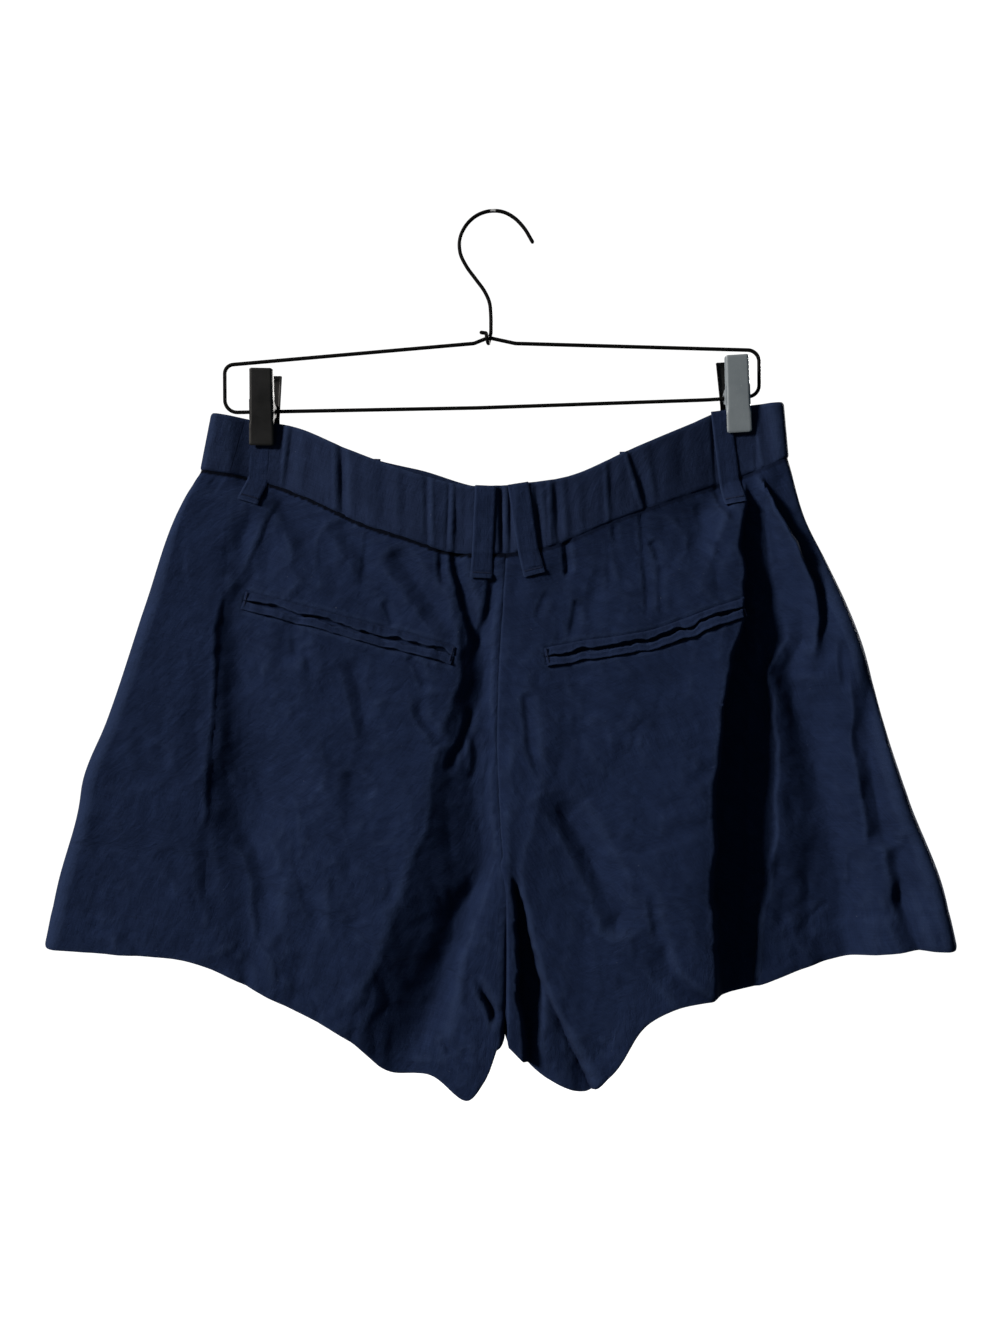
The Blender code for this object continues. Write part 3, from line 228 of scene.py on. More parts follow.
                          (-250, 185, 8.2), (-275, 188, 9.2), (-300, 174.2, 8.8), (-320, 177.4, 9.8),
                          (-345, 179, 10.2), (-375, 179.8, 10), (-400, 179, 9.8), (-440, 174.6, 9.8),
                          (-480, 168.8, 11), (-505, 167.4, 13)]),
    ("right second floor", [(-170, 167.6, 4.4), (-176, 170.4, 5.6), (-190, 174.8, 7.6), (-205, 180, 10.4),
                            (-220, 185.5, 12), (-250, 196, 13.6), (-275, 197, 10.6), (-300, 187, 4),
                            (-320, 194, 3.2), (-345, 201, 3), (-375, 207, 2.8), (-400, 213, 2.8),
                            (-440, 219, 3), (-480, 223, 4.6), (-505, 224, 6.4)]),
    ("right panel crest", [(-170, 168.8, 6), (-178, 172.4, 9.6), (-190, 176.8, 13.6), (-205, 183.4, 17),
                           (-220, 190.2, 18.8), (-235, 197, 19.6), (-250, 202.4, 19.8), (-265, 204.4, 19.4),
                           (-280, 203.8, 17.8), (-300, 204, 13.6), (-320, 214, 14), (-345, 224, 15.4),
                           (-375, 229, 16.6), (-400, 236, 17.4), (-440, 240, 18), (-480, 243, 18.6)]),
    ("right trough near", [(-170, 172.6, 2.6), (-178, 176.4, 2.4), (-190, 181.6, 2.2), (-205, 189, 2.4),
                           (-220, 196.4, 3.6), (-235, 203, 8), (-250, 207.8, 11.8), (-265, 209.6, 13.8),
                           (-280, 208.6, 16), (-300, 210, 16.6), (-320, 220, 17.2), (-345, 230, 18),
                            (-375, 235, 19),
                           (-400, 242, 20.4), (-440, 246, 21), (-480, 250, 21.6)]),
    ("right trough far", [(-170, 178, 2.4), (-178, 182, 2.4), (-190, 190, 2.6), (-205, 198.6, 3.4),
     (-220, 205.4, 6),
                          (-235, 210, 11), (-250, 214, 15.6), (-265, 217, 18.4), (-280, 218, 20.4),
                           (-300, 222, 21),
                          (-320, 228, 21.6), (-345, 237, 22.4), (-400, 251, 24.6), (-480, 266, 26)]),
    ("right rim", [(-165, 188, 5), (-190, 197, 4.6), (-205, 203, 5.8), (-220, 209, 9.4), (-250, 221, 21),
                   (-330, 246, 31), (-400, 268, 35), (-475, 290, 37)]),
]
FORM_FRONT = [
    ("left rim", [(-170, -190, 8), (-250, -225, 13), (-330, -251, 18), (-475, -290, 22)]),
    ("left side", [(-170, -178, 8), (-250, -200, 15), (-330, -215, 21), (-475, -240, 27)]),
    ("left valley", [(-180, -147, 4), (-235, -152, 7), (-300, -158, 11), (-400, -152, 16), (-500, -148, 19)]),
    ("left front", [(-200, -96, 17), (-260, -98, 23), (-340, -100, 26), (-520, -100, 29)]),
    ("left inner", [(-215, -45, 20), (-300, -46, 23), (-400, -48, 26), (-530, -50, 27)]),
    ("centre", [(-225, 4, 19), (-300, 0, 19), (-400, 3, 20), (-530, 2, 22)]),
    ("right inner", [(-215, 52, 20), (-300, 52, 23), (-400, 55, 26), (-530, 58, 27)]),
    ("right front", [(-195, 100, 17), (-260, 102, 23), (-340, 104, 26), (-520, 104, 29)]),
    ("right valley", [(-178, 151, 4), (-235, 155, 7), (-300, 158, 11), (-400, 150, 16), (-500, 145, 19)]),
    ("right side", [(-165, 178, 8), (-250, 200, 15), (-330, 215, 21), (-475, 240, 27)]),
    ("right rim", [(-165, 188, 8), (-250, 221, 13), (-330, 247, 18), (-475, 292, 22)]),
]

# folds: name, path of (x, z), depth (a trough is positive), width left, width right, fade in, fade out,
# keenness of the left crest
FOLDS_BACK = [
    ("left second strip", [(-159, -194), (-165, -220), (-169, -242)], 2.4, 8, 7, 0.3, 0.2, 0.0),
    ("branch across", [(-181, -388), (-174, -396), (-164, -403), (-155, -410), (-149.5, -423), (-147, -438),
                       (-146, -452), (-145, -472)], 4.2, 7, 9, 0.36, 0.3, 0.2),
    ("branch facet", [(-25, -461), (-31, -471), (-36, -482), (-40, -494)], 1.0, 8, 5, 0.2, 0.3, 0.0),
    ("left hem dark", [(-162, -476), (-159, -494)], 2.0, 3, 5, 0.4, 0.0, 0.5),
    ("facet mid", [(-4, -421), (-11, -431), (-18, -441), (-27, -452), (-33, -461)], 1.2, 7, 4, 0.2, 0.2, 0.1),
    ("left light facet", [(-190, -402), (-187, -413), (-185, -425), (-183, -438), (-178, -452), (-173, -464)],
     1.5, 5, 6, 0.2, 0.3, 0.1),
    ("panel ripple 1", [(-248, -362), (-236, -366), (-222, -371)], 1.2, 7, 7, 0.3, 0.3, 0.0),
    ("panel ripple 2", [(-252, -386), (-250, -400), (-246, -414)], 1.4, 7, 9, 0.3, 0.3, 0.0),
    ("panel ripple 3", [(-243, -424), (-241, -440), (-240, -456)], 0.9, 6, 7, 0.3, 0.3, 0.0),
    ("panel ripple 4", [(-258, -458), (-247, -461), (-236, -460)], 1.0, 5, 5, 0.3, 0.3, 0.0),
    ("panel ripple 5", [(-222, -430), (-212, -436), (-202, -438)], 1.0, 7, 6, 0.3, 0.3, 0.0),
    ("panel ripple 6", [(-214, -408), (-204, -420), (-198, -434)], 0.9, 6, 8, 0.3, 0.3, 0.0),
    ("panel ripple 7", [(-228, -286), (-218, -282), (-208, -286)], 0.7, 7, 7, 0.3, 0.3, 0.0),
    ("panel ripple 8", [(-216, -344), (-212, -352), (-206, -356)], 0.9, 5, 5, 0.3, 0.3, 0.0),
    ("panel strip", [(-189, -286), (-190, -320), (-193, -372)], 1.2, 9, 9, 0.3, 0.3, 0.0),
    ("panel top", [(-186, -176), (-178, -181)], 1.0, 5, 6, 0.3, 0.3, 0.0),
    ("seat mottle 1", [(-131, -262), (-130, -280), (-128, -297)], 2.8, 11, 8, 0.2, 0.3, 0.0),
    ("seat mottle 2", [(-131, -226), (-126, -234), (-120, -243)], 1.1, 3, 5, 0.3, 0.4, 0.3),
    ("seat streak 1", [(-129, -276), (-127, -286), (-124, -293)], 1.2, 3, 5, 0.2, 0.4, 0.4),
    ("seat streak 2", [(-123, -281), (-120, -292), (-118, -304)], 1.7, 3, 5, 0.2, 0.4, 0.5),
    ("seat streak 3", [(-96, -287), (-91, -302), (-87, -318), (-82, -334),
     (-76, -348)], 3.0, 6, 8, 0.2, 0.25, 0.3),
    ("seat streak 4", [(-78, -297), (-75, -318)], 1.0, 4, 6, 0.3, 0.4, 0.2),
    ("seat streak 5", [(-76, -333), (-69, -349)], 1.3, 4, 6, 0.3, 0.4, 0.3),
    ("seat oval", [(-141, -314), (-139, -328)], 0.7, 4, 4, 0.4, 0.4, 0.0),
    ("seat soft", [(-110, -304), (-106, -322)], 1.2, 7, 8, 0.4, 0.4, 0.0),
    ("bright edge", [(-98, -361), (-88, -367), (-77, -375)], 2.3, 6, 4, 0.35, 0.15, 0.0),
    ("seat short", [(-129, -385), (-118, -391)], 1.1, 3, 3, 0.4, 0.3, 0.0),
    ("thigh diagonal", [(-123, -430), (-119, -442), (-109, -457)], 1.7, 4, 6, 0.3, 0.3, 0.3),
    ("thigh small", [(-103, -427), (-103, -443)], 0.8, 3, 5, 0.3, 0.4, 0.2),
    ("thigh dark", [(-134, -474), (-132, -496)], 1.2, 7, 8, 0.4, 0.4, 0.0),
    ("thigh smudge", [(-93, -448), (-89, -468)], 1.0, 5, 6, 0.4, 0.4, 0.0),
    ("crest branch", [(-68, -421), (-66, -434), (-66, -446)], 0.7, 5, 4, 0.3, 0.2, 0.0),
    ("hem across", [(-87, -505), (-78, -510), (-71, -517)], 0.25, 3, 3, 0.3, 0.3, 0.0),
    ("hem crumple 1", [(-36, -532), (-29, -542)], 1.4, 3, 4, 0.3, 0.3, 0.2),
    ("hem crumple 2", [(-20, -536), (-18, -544)], 1.2, 3, 4, 0.3, 0.3, 0.2),
    ("outer diagonal", [(-104, -200), (-96, -212), (-89, -222), (-83.5, -232),
     (-82, -247)], 3.4, 7, 8, 0.15, 0.3, 0.1),
    ("seat diagonal", [(-69, -219), (-58, -235), (-47, -250), (-38, -261), (-29, -271)],
     5.0, 8, 8, 0.16, 0.22, 0.2),
    ("short pleat", [(-35.5, -220), (-36, -233), (-34, -247)], 2.3, 1.9, 4, 0.0, 0.4, 0.8),
    ("centre crease 1", [(-27.5, -222), (-25.5, -236), (-22, -249), (-18.5, -262), (-15, -277), (-12, -292)],
     4.2, 3, 6, 0.0, 0.25, 0.6),
    ("centre crease 2", [(-2.5, -235), (-3.5, -250), (-6, -263), (-10, -274), (-13, -287)],
     3.6, 3.2, 4.5, 0.12, 0.2, 0.6),
    ("welt hook", [(-73, -253), (-69, -261), (-66.5, -270)], 1.2, 1.8, 3.4, 0.2, 0.1, 0.5),
    ("under welt", [(-57, -289), (-51, -295), (-47.5, -303), (-44, -313)], 2.1, 3, 4, 0.1, 0.3, 0.5),
    ("under welt 2", [(-47, -304), (-32, -309)], 1.0, 3, 3, 0.1, 0.5, 0.0),
    ("valley branch 1", [(-16, -316), (-19, -333), (-24, -346), (-29, -354), (-31, -366)],
     2.8, 3, 4, 0.2, 0.25, 0.6),
    ("valley branch 2", [(-16, -335), (-13.5, -349), (-14.5, -361), (-18, -372)], 2.0, 3, 4, 0.2, 0.25, 0.5),
    ("crest line", [(-51, -313), (-46, -330), (-39, -338), (-35.5, -346)], 2.2, 4, 4, 0.3, 0.05, 0.4),
    ("hole", [(-15, -490), (-10, -499), (-6, -507), (-2.5, -514), (-1, -523)], 8.6, 3, 3.4, 0.7, 0.25, 0.2),
    ("right short pleat", [(43, -217), (44.5, -240)], 2.8, 1.9, 3.6, 0.0, 0.25, 0.9),
    ("band pucker", [(73.5, -205), (75.5, -213), (79, -220)], 1.5, 1.7, 3, 0.05, 0.4, 0.6),
    ("dart pucker", [(97, -215), (101, -222), (103.5, -231)], 2.0, 2, 3.6, 0.15, 0.35, 0.6),
    ("seat right soft", [(67.5, -228), (64, -240), (60, -252), (56, -270)], 1.7, 4, 8, 0.25, 0.3, 0.1),
    ("seat right thin", [(50.5, -252), (48.5, -263), (46, -279)], 2.0, 2, 4.5, 0.12, 0.4, 0.7),
    ("seat right thin 2", [(34, -245), (27.5, -257), (25, -268)], 1.3, 2, 4, 0.3, 0.3, 0.5),
    ("leg trough high", [(18, -310), (19.5, -328), (20.5, -345), (24, -357), (27, -369)],
     2.6, 3, 5, 0.1, 0.2, 0.5),
    ("leg trough spot", [(19, -371), (28, -372), (38, -370)], 0.25, 4, 4, 0.4, 0.4, 0.0),
    ("leg trough low", [(30, -374), (39, -385), (47, -394), (53, -406), (59, -417), (65, -428), (70, -442),
                        (74.5, -455), (77, -466)], 6.4, 8, 11, 0.22, 0.1, 0.0),
    ("leg across", [(72, -460), (84, -457), (97, -455)], 0.8, 4, 3, 0.1, 0.3, 0.0),
    ("hem pleat start", [(95.5, -432), (97.5, -447), (100, -460),
     (102.5, -472)], 1.9, 3.2, 4, 0.4, 0.35, 0.3),
    ("hem pleat", [(101, -464), (105.5, -477), (111, -488), (119, -496), (130, -503), (139, -509)],
     5.0, 10, 3.4, 0.25, 0.0, 0.1),
    ("inner right dent 1", [(139, -352), (128, -362), (114, -372)], 0.9, 5, 5, 0.2, 0.3, 0.0),
    ("inner right dent 2", [(124, -374), (110, -381), (94, -387)], 0.7, 5, 5, 0.3, 0.3, 0.0),
    ("inner right dent 3", [(140, -386), (112, -399), (80, -413)], 0.8, 5, 5, 0.2, 0.3, 0.0),
    ("hem crease", [(37.5, -512), (41, -522), (47, -534), (53, -545), (61, -562)], 1.8, 4, 3, 0.3, 0.0, 0.2),
    ("hem faint", [(60, -531), (67, -535), (75, -537)], 0.8, 3, 3, 0.3, 0.3, 0.0),
    ("welt smudge", [(46, -299), (61, -301)], 1.0, 4, 4, 0.4, 0.4, 0.0),
    ("streak right", [(128, -188), (137, -211), (147, -230)], 1.6, 4, 6, 0.15, 0.3, 0.2),
    ("loop crease", [(141.5, -178), (145, -189), (154, -204)], 2.6, 2.6, 4, 0.1, 0.25, 0.6),
    ("side streak", [(219, -275), (220.5, -299), (222, -313)], 1.8, 3, 5, 0.3, 0.3, 0.3),
    ("side crease", [(229, -280), (233, -298), (235.5, -320), (237, -345), (239.5, -364), (243, -382),
                     (246, -397), (246, -412)], 9.0, 8, 6, 0.3, 0.08, 0.3),
    ("side smudge 1", [(246, -369), (247, -387)], 1.4, 5, 6, 0.3, 0.4, 0.0),
    ("side smudge 2", [(252, -391), (254, -408)], 1.4, 5, 6, 0.4, 0.3, 0.0),
    ("side thin", [(228, -412), (229, -442)], 1.3, 2, 4, 0.3, 0.3, 0.4),
    ("side hem wedge", [(252, -428), (256, -442), (260, -454), (265, -466),
     (271, -482)], 7.6, 10, 5, 0.3, 0.0, 0.0),
    ("side hem crease", [(251, -400), (254, -416), (256, -430), (258, -444), (262, -456), (268, -468)],
     6.4, 6, 8, 0.2, 0.45, 0.3),
    ("right side dent 1", [(180.5, -415), (179.5, -428), (176, -439)], 1.0, 3, 4, 0.3, 0.3, 0.2),
    ("right side dent 2", [(187, -430), (184, -450), (181, -472)], 1.4, 5, 8, 0.3, 0.3, 0.2),
    ("right side dent 3", [(204, -404), (200, -424), (202, -446)], 1.1, 5, 7, 0.3, 0.3, 0.1),
    ("right side dent 4", [(206, -452), (200, -462), (196, -478)], 1.0, 4, 6, 0.3, 0.2, 0.2),
    ("right side dent 5", [(190, -366), (188, -386), (192, -402)], 1.2, 4, 6, 0.4, 0.4, 0.2),
    ("hem side", [(226, -446), (230, -462), (228, -480)], 1.4, 4, 8, 0.3, 0.0, 0.2),
]
FOLDS_FRONT = [
    ("left pleat", [(-84, -205), (-86, -280), (-92, -380), (-96, -530)], 4.0, 5, 16, 0.02, 0.0, 0.8),
    ("right pleat", [(88, -198), (90, -280), (92, -380), (90, -530)], 4.0, 16, 5, 0.02, 0.0, 0.0),
    ("left side trough", [(-176, -230), (-186, -290), (-196, -360)], 2.4, 8, 10, 0.2, 0.4, 0.0),
    ("right side trough", [(182, -225), (190, -300), (205, -370)], 2.6, 9, 8, 0.2, 0.4, 0.0),
    ("left crotch pull", [(-4, -370), (-30, -400), (-62, -440)], 2.8, 7, 8, 0.2, 0.4, 0.0),
    ("right crotch pull", [(10, -372), (36, -404), (70, -448)], 2.4, 7, 8, 0.2, 0.4, 0.0),
    ("left crotch pull 2", [(-4, -396), (-24, -426), (-44, -470)], 1.8, 5, 6, 0.2, 0.4, 0.2),
    ("right crotch pull 2", [(12, -400), (30, -432), (48, -474)], 1.6, 5, 6, 0.2, 0.4, 0.2),
    ("left thigh trough", [(-128, -330), (-122, -400), (-130, -480)], 2.6, 8, 10, 0.25, 0.2, 0.2),
    ("right thigh trough", [(130, -320), (126, -400), (136, -480)], 3.0, 9, 9, 0.25, 0.2, 0.2),
    ("left centre crease", [(-34, -226), (-30, -262), (-22, -300)], 2.0, 4, 6, 0.05, 0.4, 0.4),
    ("right centre crease", [(44, -224), (42, -256), (34, -290)], 1.8, 4, 6, 0.05, 0.4, 0.4),
    ("left hem wave", [(-52, -470), (-56, -505), (-60, -536)], 3.0, 9, 10, 0.4, 0.0, 0.2),
    ("right hem wave", [(62, -462), (66, -500), (64, -536)], 3.2, 9, 10, 0.4, 0.0, 0.2),
    ("left lap", [(-8, -300), (-40, -312), (-74, -308)], 1.2, 6, 6, 0.3, 0.4, 0.0),
    ("right lap", [(22, -330), (52, -338), (84, -330)], 1.1, 6, 6, 0.3, 0.4, 0.0),
    ("left seat dent", [(-120, -252), (-112, -280), (-116, -312)], 1.6, 6, 7, 0.3, 0.3, 0.2),
    ("right seat dent", [(118, -246), (114, -276), (122, -308)], 1.6, 6, 7, 0.3, 0.3, 0.2),
    ("left side dent", [(-226, -372), (-222, -400), (-230, -436)], 1.6, 7, 9, 0.3, 0.3, 0.1),
    ("right side dent", [(232, -362), (230, -396), (240, -430)], 1.8, 7, 9, 0.3, 0.3, 0.1),
]
# pressed steps: name, face, path, height (cloth on the left stands higher), how far the right recovers
STEPS = [
    ("left dart", "back", [(-84, -208), (-87, -235), (-89.5, -260)], 0.75, 7, 0.5),
    ("right dart", "back", [(90.5, -197), (91.5, -215), (93, -240), (93.5, -269)], 1.0, 7, 0.2),
    ("right dart pleat", "back", [(102.5, -230), (102, -250), (103, -268)], 0.75, 6, 0.3),
    ("left pocket mouth", "front", [(-128, -184), (-160, -245), (-206, -318)], -1.3, 22, 0.15),
    ("right pocket mouth", "front", [(126, -183), (158, -243), (206, -316)], 1.3, 22, 0.15),
]
# gathers of the back band: x at the top, x at the seam, depth, width left, width right, keenness
GATHERS = [(-139.0, -142.5, 1.7, 2.2, 2.6, 0.8), (-132.0, -137.5, 2.0, 2.6, 8.0, 0.8),
           (-99.5, -99.0, 2.4, 3.2, 5.0, 0.8), (-104.5, -104.0, -0.7, 2.0, 1.8, 0.0),
           (-72.0, -71.0, 1.3, 7.0, 9.0, 0.2), (-44.6, -44.0, 1.3, 3.0, 3.0, 0.7),
            (-41.5, -41.0, -0.7, 1.6, 2.0, 0.0),
           (-30.2, -32.0, 1.0, 2.0, 2.0, 0.7), (-28.0, -29.5, -0.8, 1.5, 1.7, 0.0),
            (-25.5, -26.0, 1.0, 3.0, 6.0, 0.3),
           (-20.0, -21.0, 0.7, 3.0, 4.0, 0.2), (2.6, 3.6, 3.0, 3.0, 3.4, 0.9), (8.4, 8.4, 2.4, 3.0, 4.0, 0.6),
           (24.0, 28.5, 1.6, 3.0, 4.0, 0.6), (33.0, 34.0, -0.7, 1.8, 2.0, 0.0),
            (37.0, 39.5, 1.6, 3.0, 4.6, 0.6),
           (45.5, 48.0, 0.9, 4.0, 5.0, 0.2), (56.0, 58.5, 0.5, 5.0, 6.0, 0.1),
            (68.0, 70.5, -0.7, 2.0, 2.4, 0.0),
           (72.0, 74.5, 0.7, 3.0, 5.0, 0.3), (84.6, 96.6, 2.7, 3.0, 8.0, 0.9),
            (81.6, 92.6, -0.6, 2.0, 1.8, 0.0),
           (99.0, 104.0, 0.7, 4.0, 8.0, 0.1), (116.0, 121.0, 0.6, 7.0, 9.0, 0.1),
            (140.0, 143.0, 1.6, 3.6, 5.0, 0.6),
           (155.5, 161.5, 2.0, 3.0, 3.6, 0.8), (164.0, 169.0, 1.4, 2.2, 3.0, 0.8),
            (172.0, 178.0, 2.4, 6.0, 6.0, 0.6),
           (-117.0, -121.0, 0.7, 7.0, 9.0, 0.1), (-86.0, -88.0, 0.6, 6.0, 7.0, 0.1),
            (-58.0, -59.0, 0.7, 6.0, 6.0, 0.1)]
BACK_LOOPS = [("loop_outer_left", "belt_loop_outer_left", -152.0, -156.5, -0.22),
              ("loop_centre_left", "belt_loop_centre_left", -7.1, -10.0, 0.0),
              ("loop_centre_right", "belt_loop_centre_right", 13.3, 22.2, 0.10),
              ("loop_outer_right", "belt_loop_outer_right", 145.0, 152.5, 0.05)]
FRONT_LOOPS = [("loop_front_left", "belt_loop_front_left", -84.0, -85.0, 0.0),
               ("loop_front_right", "belt_loop_front_right", 88.0, 89.0, 0.0)]


# ---------------------------------------------------------------- small helpers
def smooth(v):
    v = np.clip(v, 0.0, 1.0)
    return v * v * (3.0 - 2.0 * v)


def unit(v):
    return v / (np.linalg.norm(v, axis=-1, keepdims=True) + 1e-12)


def run_of(path):
    """Distance along a path of (x, z) points."""
    return np.concatenate([[0], np.cumsum(np.hypot(*np.diff(path, axis=0).T))])


def cubic(r, h, p0, p1, m0, m1):
    """The cubic through two values with given slopes, at the share r of a span h."""
    return ((2 * r ** 3 - 3 * r ** 2 + 1) * p0 + (r ** 3 - 2 * r ** 2 + r) * h * m0
            + (3 * r ** 2 - 2 * r ** 3) * p1 + (r ** 3 - r ** 2) * h * m1)


class Line:
    """A smooth line through a short row of points, read by the share of its length."""

    def __init__(self, points):
        self.p = np.array(points, float)
        step = np.hypot(*np.diff(self.p, axis=0).T)
        self.s = np.concatenate([[0.0], np.cumsum(step)]) / step.sum()
        self.m = np.gradient(self.p, self.s, axis=0)

    def at(self, u):
        u = np.clip(np.asarray(u, float), 0.0, 1.0)
        k = np.clip(np.searchsorted(self.s, u, side="right") - 1, 0, len(self.s) - 2)
        h = self.s[k + 1] - self.s[k]
        r = ((u - self.s[k]) / h)[..., None]
        return cubic(r, h[..., None], self.p[k], self.p[k + 1], self.m[k], self.m[k + 1])


def x_of_z(points, z):
    rows = sorted(points, key=lambda p: p[1])
    return np.interp(z, [p[1] for p in rows], [p[0] for p in rows])


def whole_row(table):
    rows = list(table["L"]) + list(reversed(table["R"]))[1:]
    return np.array([p[0] for p in rows]), np.array([p[1] for p in rows])


SEAM_X, SEAM_Z = whole_row(WAIST_SEAM)
LATTICE = np.random.default_rng(11).uniform(-1.0, 1.0, (12, 128, 128))


def corners(layer, i, j):
    """The lattice's values at the four corners of a cell."""
    t = LATTICE[layer % 12]
    return (t[i % 128, j % 128], t[(i + 1) % 128, j % 128],
            t[i % 128, (j + 1) % 128], t[(i + 1) % 128, (j + 1) % 128])


def noise(x, y, layer):
    """Smooth seeded noise from -1 to 1 with a cell of 1."""
    a = 0.61 * layer + 0.3
    u = x * math.cos(a) + y * math.sin(a) + 37.3 * layer
    v = -x * math.sin(a) + y * math.cos(a) + 11.9 * layer
    i, j = np.floor(u).astype(int), np.floor(v).astype(int)
    fu, fv = u - i, v - j
    fu = fu ** 3 * (fu * (fu * 6 - 15) + 10)
    fv = fv ** 3 * (fv * (fv * 6 - 15) + 10)
    a00, a10, a01, a11 = corners(layer, i, j)
    return (a00 * (1 - fu) + a10 * fu) * (1 - fv) + (a01 * (1 - fu) + a11 * fu) * fv


def facets(x, y, layer):
    """Flat facets meeting in soft edges, from -1 to 1: heights on a leaning lattice of triangles."""
    a = 0.83 * layer + 0.2
    u = x * math.cos(a) + y * math.sin(a) + 21.7 * layer
    v = (-x * math.sin(a) + y * math.cos(a)) * 1.1547 + 7.3 * layer
    u = u - 0.5 * v
    i, j = np.floor(u).astype(int), np.floor(v).astype(int)
    fu, fv = u - i, v - j
    a00, a10, a01, a11 = corners(layer + 3, i, j)
    low = a00 + (a10 - a00) * fu + (a01 - a00) * fv
    high = a11 + (a01 - a11) * (1 - fu) + (a10 - a11) * (1 - fv)
    return np.where(fu + fv < 1, low, high)


def crumple(x, z, seed, size=1.0):
    """The small unevenness of washed linen, in millimetres: dents, flat facets and short soft creases."""
    wx = x + 5.0 * noise(x / 26, z / 30, seed) + 1.8 * noise(x / 9, z / 11, seed + 7)
    wz = z + 7.0 * noise(x / 28, z / 26, seed + 1) + 2.4 * noise(x / 10, z / 9, seed + 8)
    big = 1.05 * noise(wx / 30 / size, wz / 44 / size, seed + 2)
    plates = 0.85 * facets(wx / 12.0 / size, wz / 19.0 / size, seed + 3)
    small = 0.34 * facets(wx / 6.0 / size, wz / 9.5 / size, seed + 5)
    low = 0.10 * noise(wx / 3.6, wz / 5.2, seed + 4)
    keen = 0.45 * np.maximum(1 - 2.0 * np.abs(noise(wx / 20 / size, wz / 32 / size, seed + 5)), 0) ** 2
    mask = smooth(0.5 + 0.9 * noise(x / 40, z / 44, seed + 6))
    return big + (plates + small) * (0.65 + 0.5 * mask) + low - keen * mask


def sag(x):
    half = (CLIP_X[1] - CLIP_X[0]) / 2
    middle = (CLIP_X[1] + CLIP_X[0]) / 2
    return np.clip(1.0 - ((x - middle) / half) ** 2, 0.0, 1.0)


def front_rise(x):
    high = 4.5 * smooth(1 - np.abs(x + 45) / 50) + 1.8 * smooth(1 - np.abs(x - 18) / 20)
    return FRONT_RISE * sag(x) + high


def waist_open(x, widest):
    """How far the waist stands out: pinched at the clips, open between them."""
    inner = np.minimum(x - CLIP_X[0], CLIP_X[1] - x)
    pad = PAD_HALF if widest == OPEN_BACK else PAD_HALF + FAR_SHIFT + 0.4
    away = np.maximum(inner - pad, 0.0)
    between = (widest - PINCHED) * (1.0 - np.exp(-(away / 55.0) ** 1.3))
    return PINCHED + between + 4.5 * smooth(np.maximum(-inner - PAD_HALF, 0.0) / 16.0)


def side_of(points, x, z):
    """Signed distance from a path (positive on its +X side) and the share of the way along it."""
    p = Line(points).at(np.linspace(0, 1, 5 * len(points)))
    best = np.full(np.shape(x), 1e9)
    sign = np.ones(np.shape(x))
    along = np.zeros(np.shape(x))
    n = len(p) - 1
    for i in range(n):
        d = p[i + 1] - p[i]
        f = np.clip(((x - p[i, 0]) * d[0] + (z - p[i, 1]) * d[1]) / (d @ d), 0, 1)
        ex = x - (p[i, 0] + f * d[0])
        ez = z - (p[i, 1] + f * d[1])
        r = np.hypot(ex, ez)
        nearer = r < best
        best = np.where(nearer, r, best)
        sign = np.where(nearer, np.where(d[0] * ez - d[1] * ex >= 0, 1.0, -1.0), sign)
        along = np.where(nearer, (i + f) / n, along)
    return best * sign, along


def near_path(path, reach, x, z):
    """The points worth measuring for one fold."""
    p = np.array(path)
    lo, hi = p.min(axis=0) - reach, p.max(axis=0) + reach
    return (x > lo[0]) & (x < hi[0]) & (z > lo[1]) & (z < hi[1])


def folds_at(table, x, z):
    total = np.zeros(np.shape(x))
    for _, path, deep, wide_l, wide_r, fade_in, fade_out, keen in table:
        deep, keen = deep * FOLD_DEEP, keen * FOLD_KEEN
        wide_l, wide_r = wide_l * FOLD_WIDE_LEFT, wide_r * FOLD_WIDE_RIGHT
        near = near_path(path, max(wide_l, wide_r) + 2, x, z)
        if not near.any():
            continue
        xn, zn = x[near], z[near]
        s, along = side_of(path, xn, zn)
        s = s + min(0.05 * (wide_l + wide_r), 0.9) * noise(xn / 12, zn / 12, 9)
        soft = smooth(1 - np.abs(s) / np.where(s < 0, wide_l, wide_r))
        sharp = np.clip(1 - (s / wide_l) ** 2, 0, 1)
        even = 0.3 * soft + 0.7 * np.clip(1 - np.abs(s) / wide_l, 0, 1)
        shape = np.where(s < 0, even + (sharp - even) * keen, soft)
        shape = shape * (1 + 0.22 * noise(xn / 20, zn / 20, 10))
        if fade_in:
            shape = shape * smooth(along / fade_in)
        if fade_out:
            shape = shape * smooth((1 - along) / fade_out)
        total[near] += deep * shape
    return total


def steps_at(face, x, z):
    total = np.zeros(np.shape(x))
    for _, where, path, high, recover, fade in STEPS:
        if where != face:
            continue
        near = near_path(path, recover + 2, x, z)
        if not near.any():
            continue
        s, along = side_of(path, x[near], z[near])
        if high < 0:
            s = -s
        down = smooth((s + 0.7) / 1.4) * smooth(1 - s / recover)
        total[near] += abs(high) * down * smooth((1 - along) / fade) * smooth(along / 0.03)
    return total


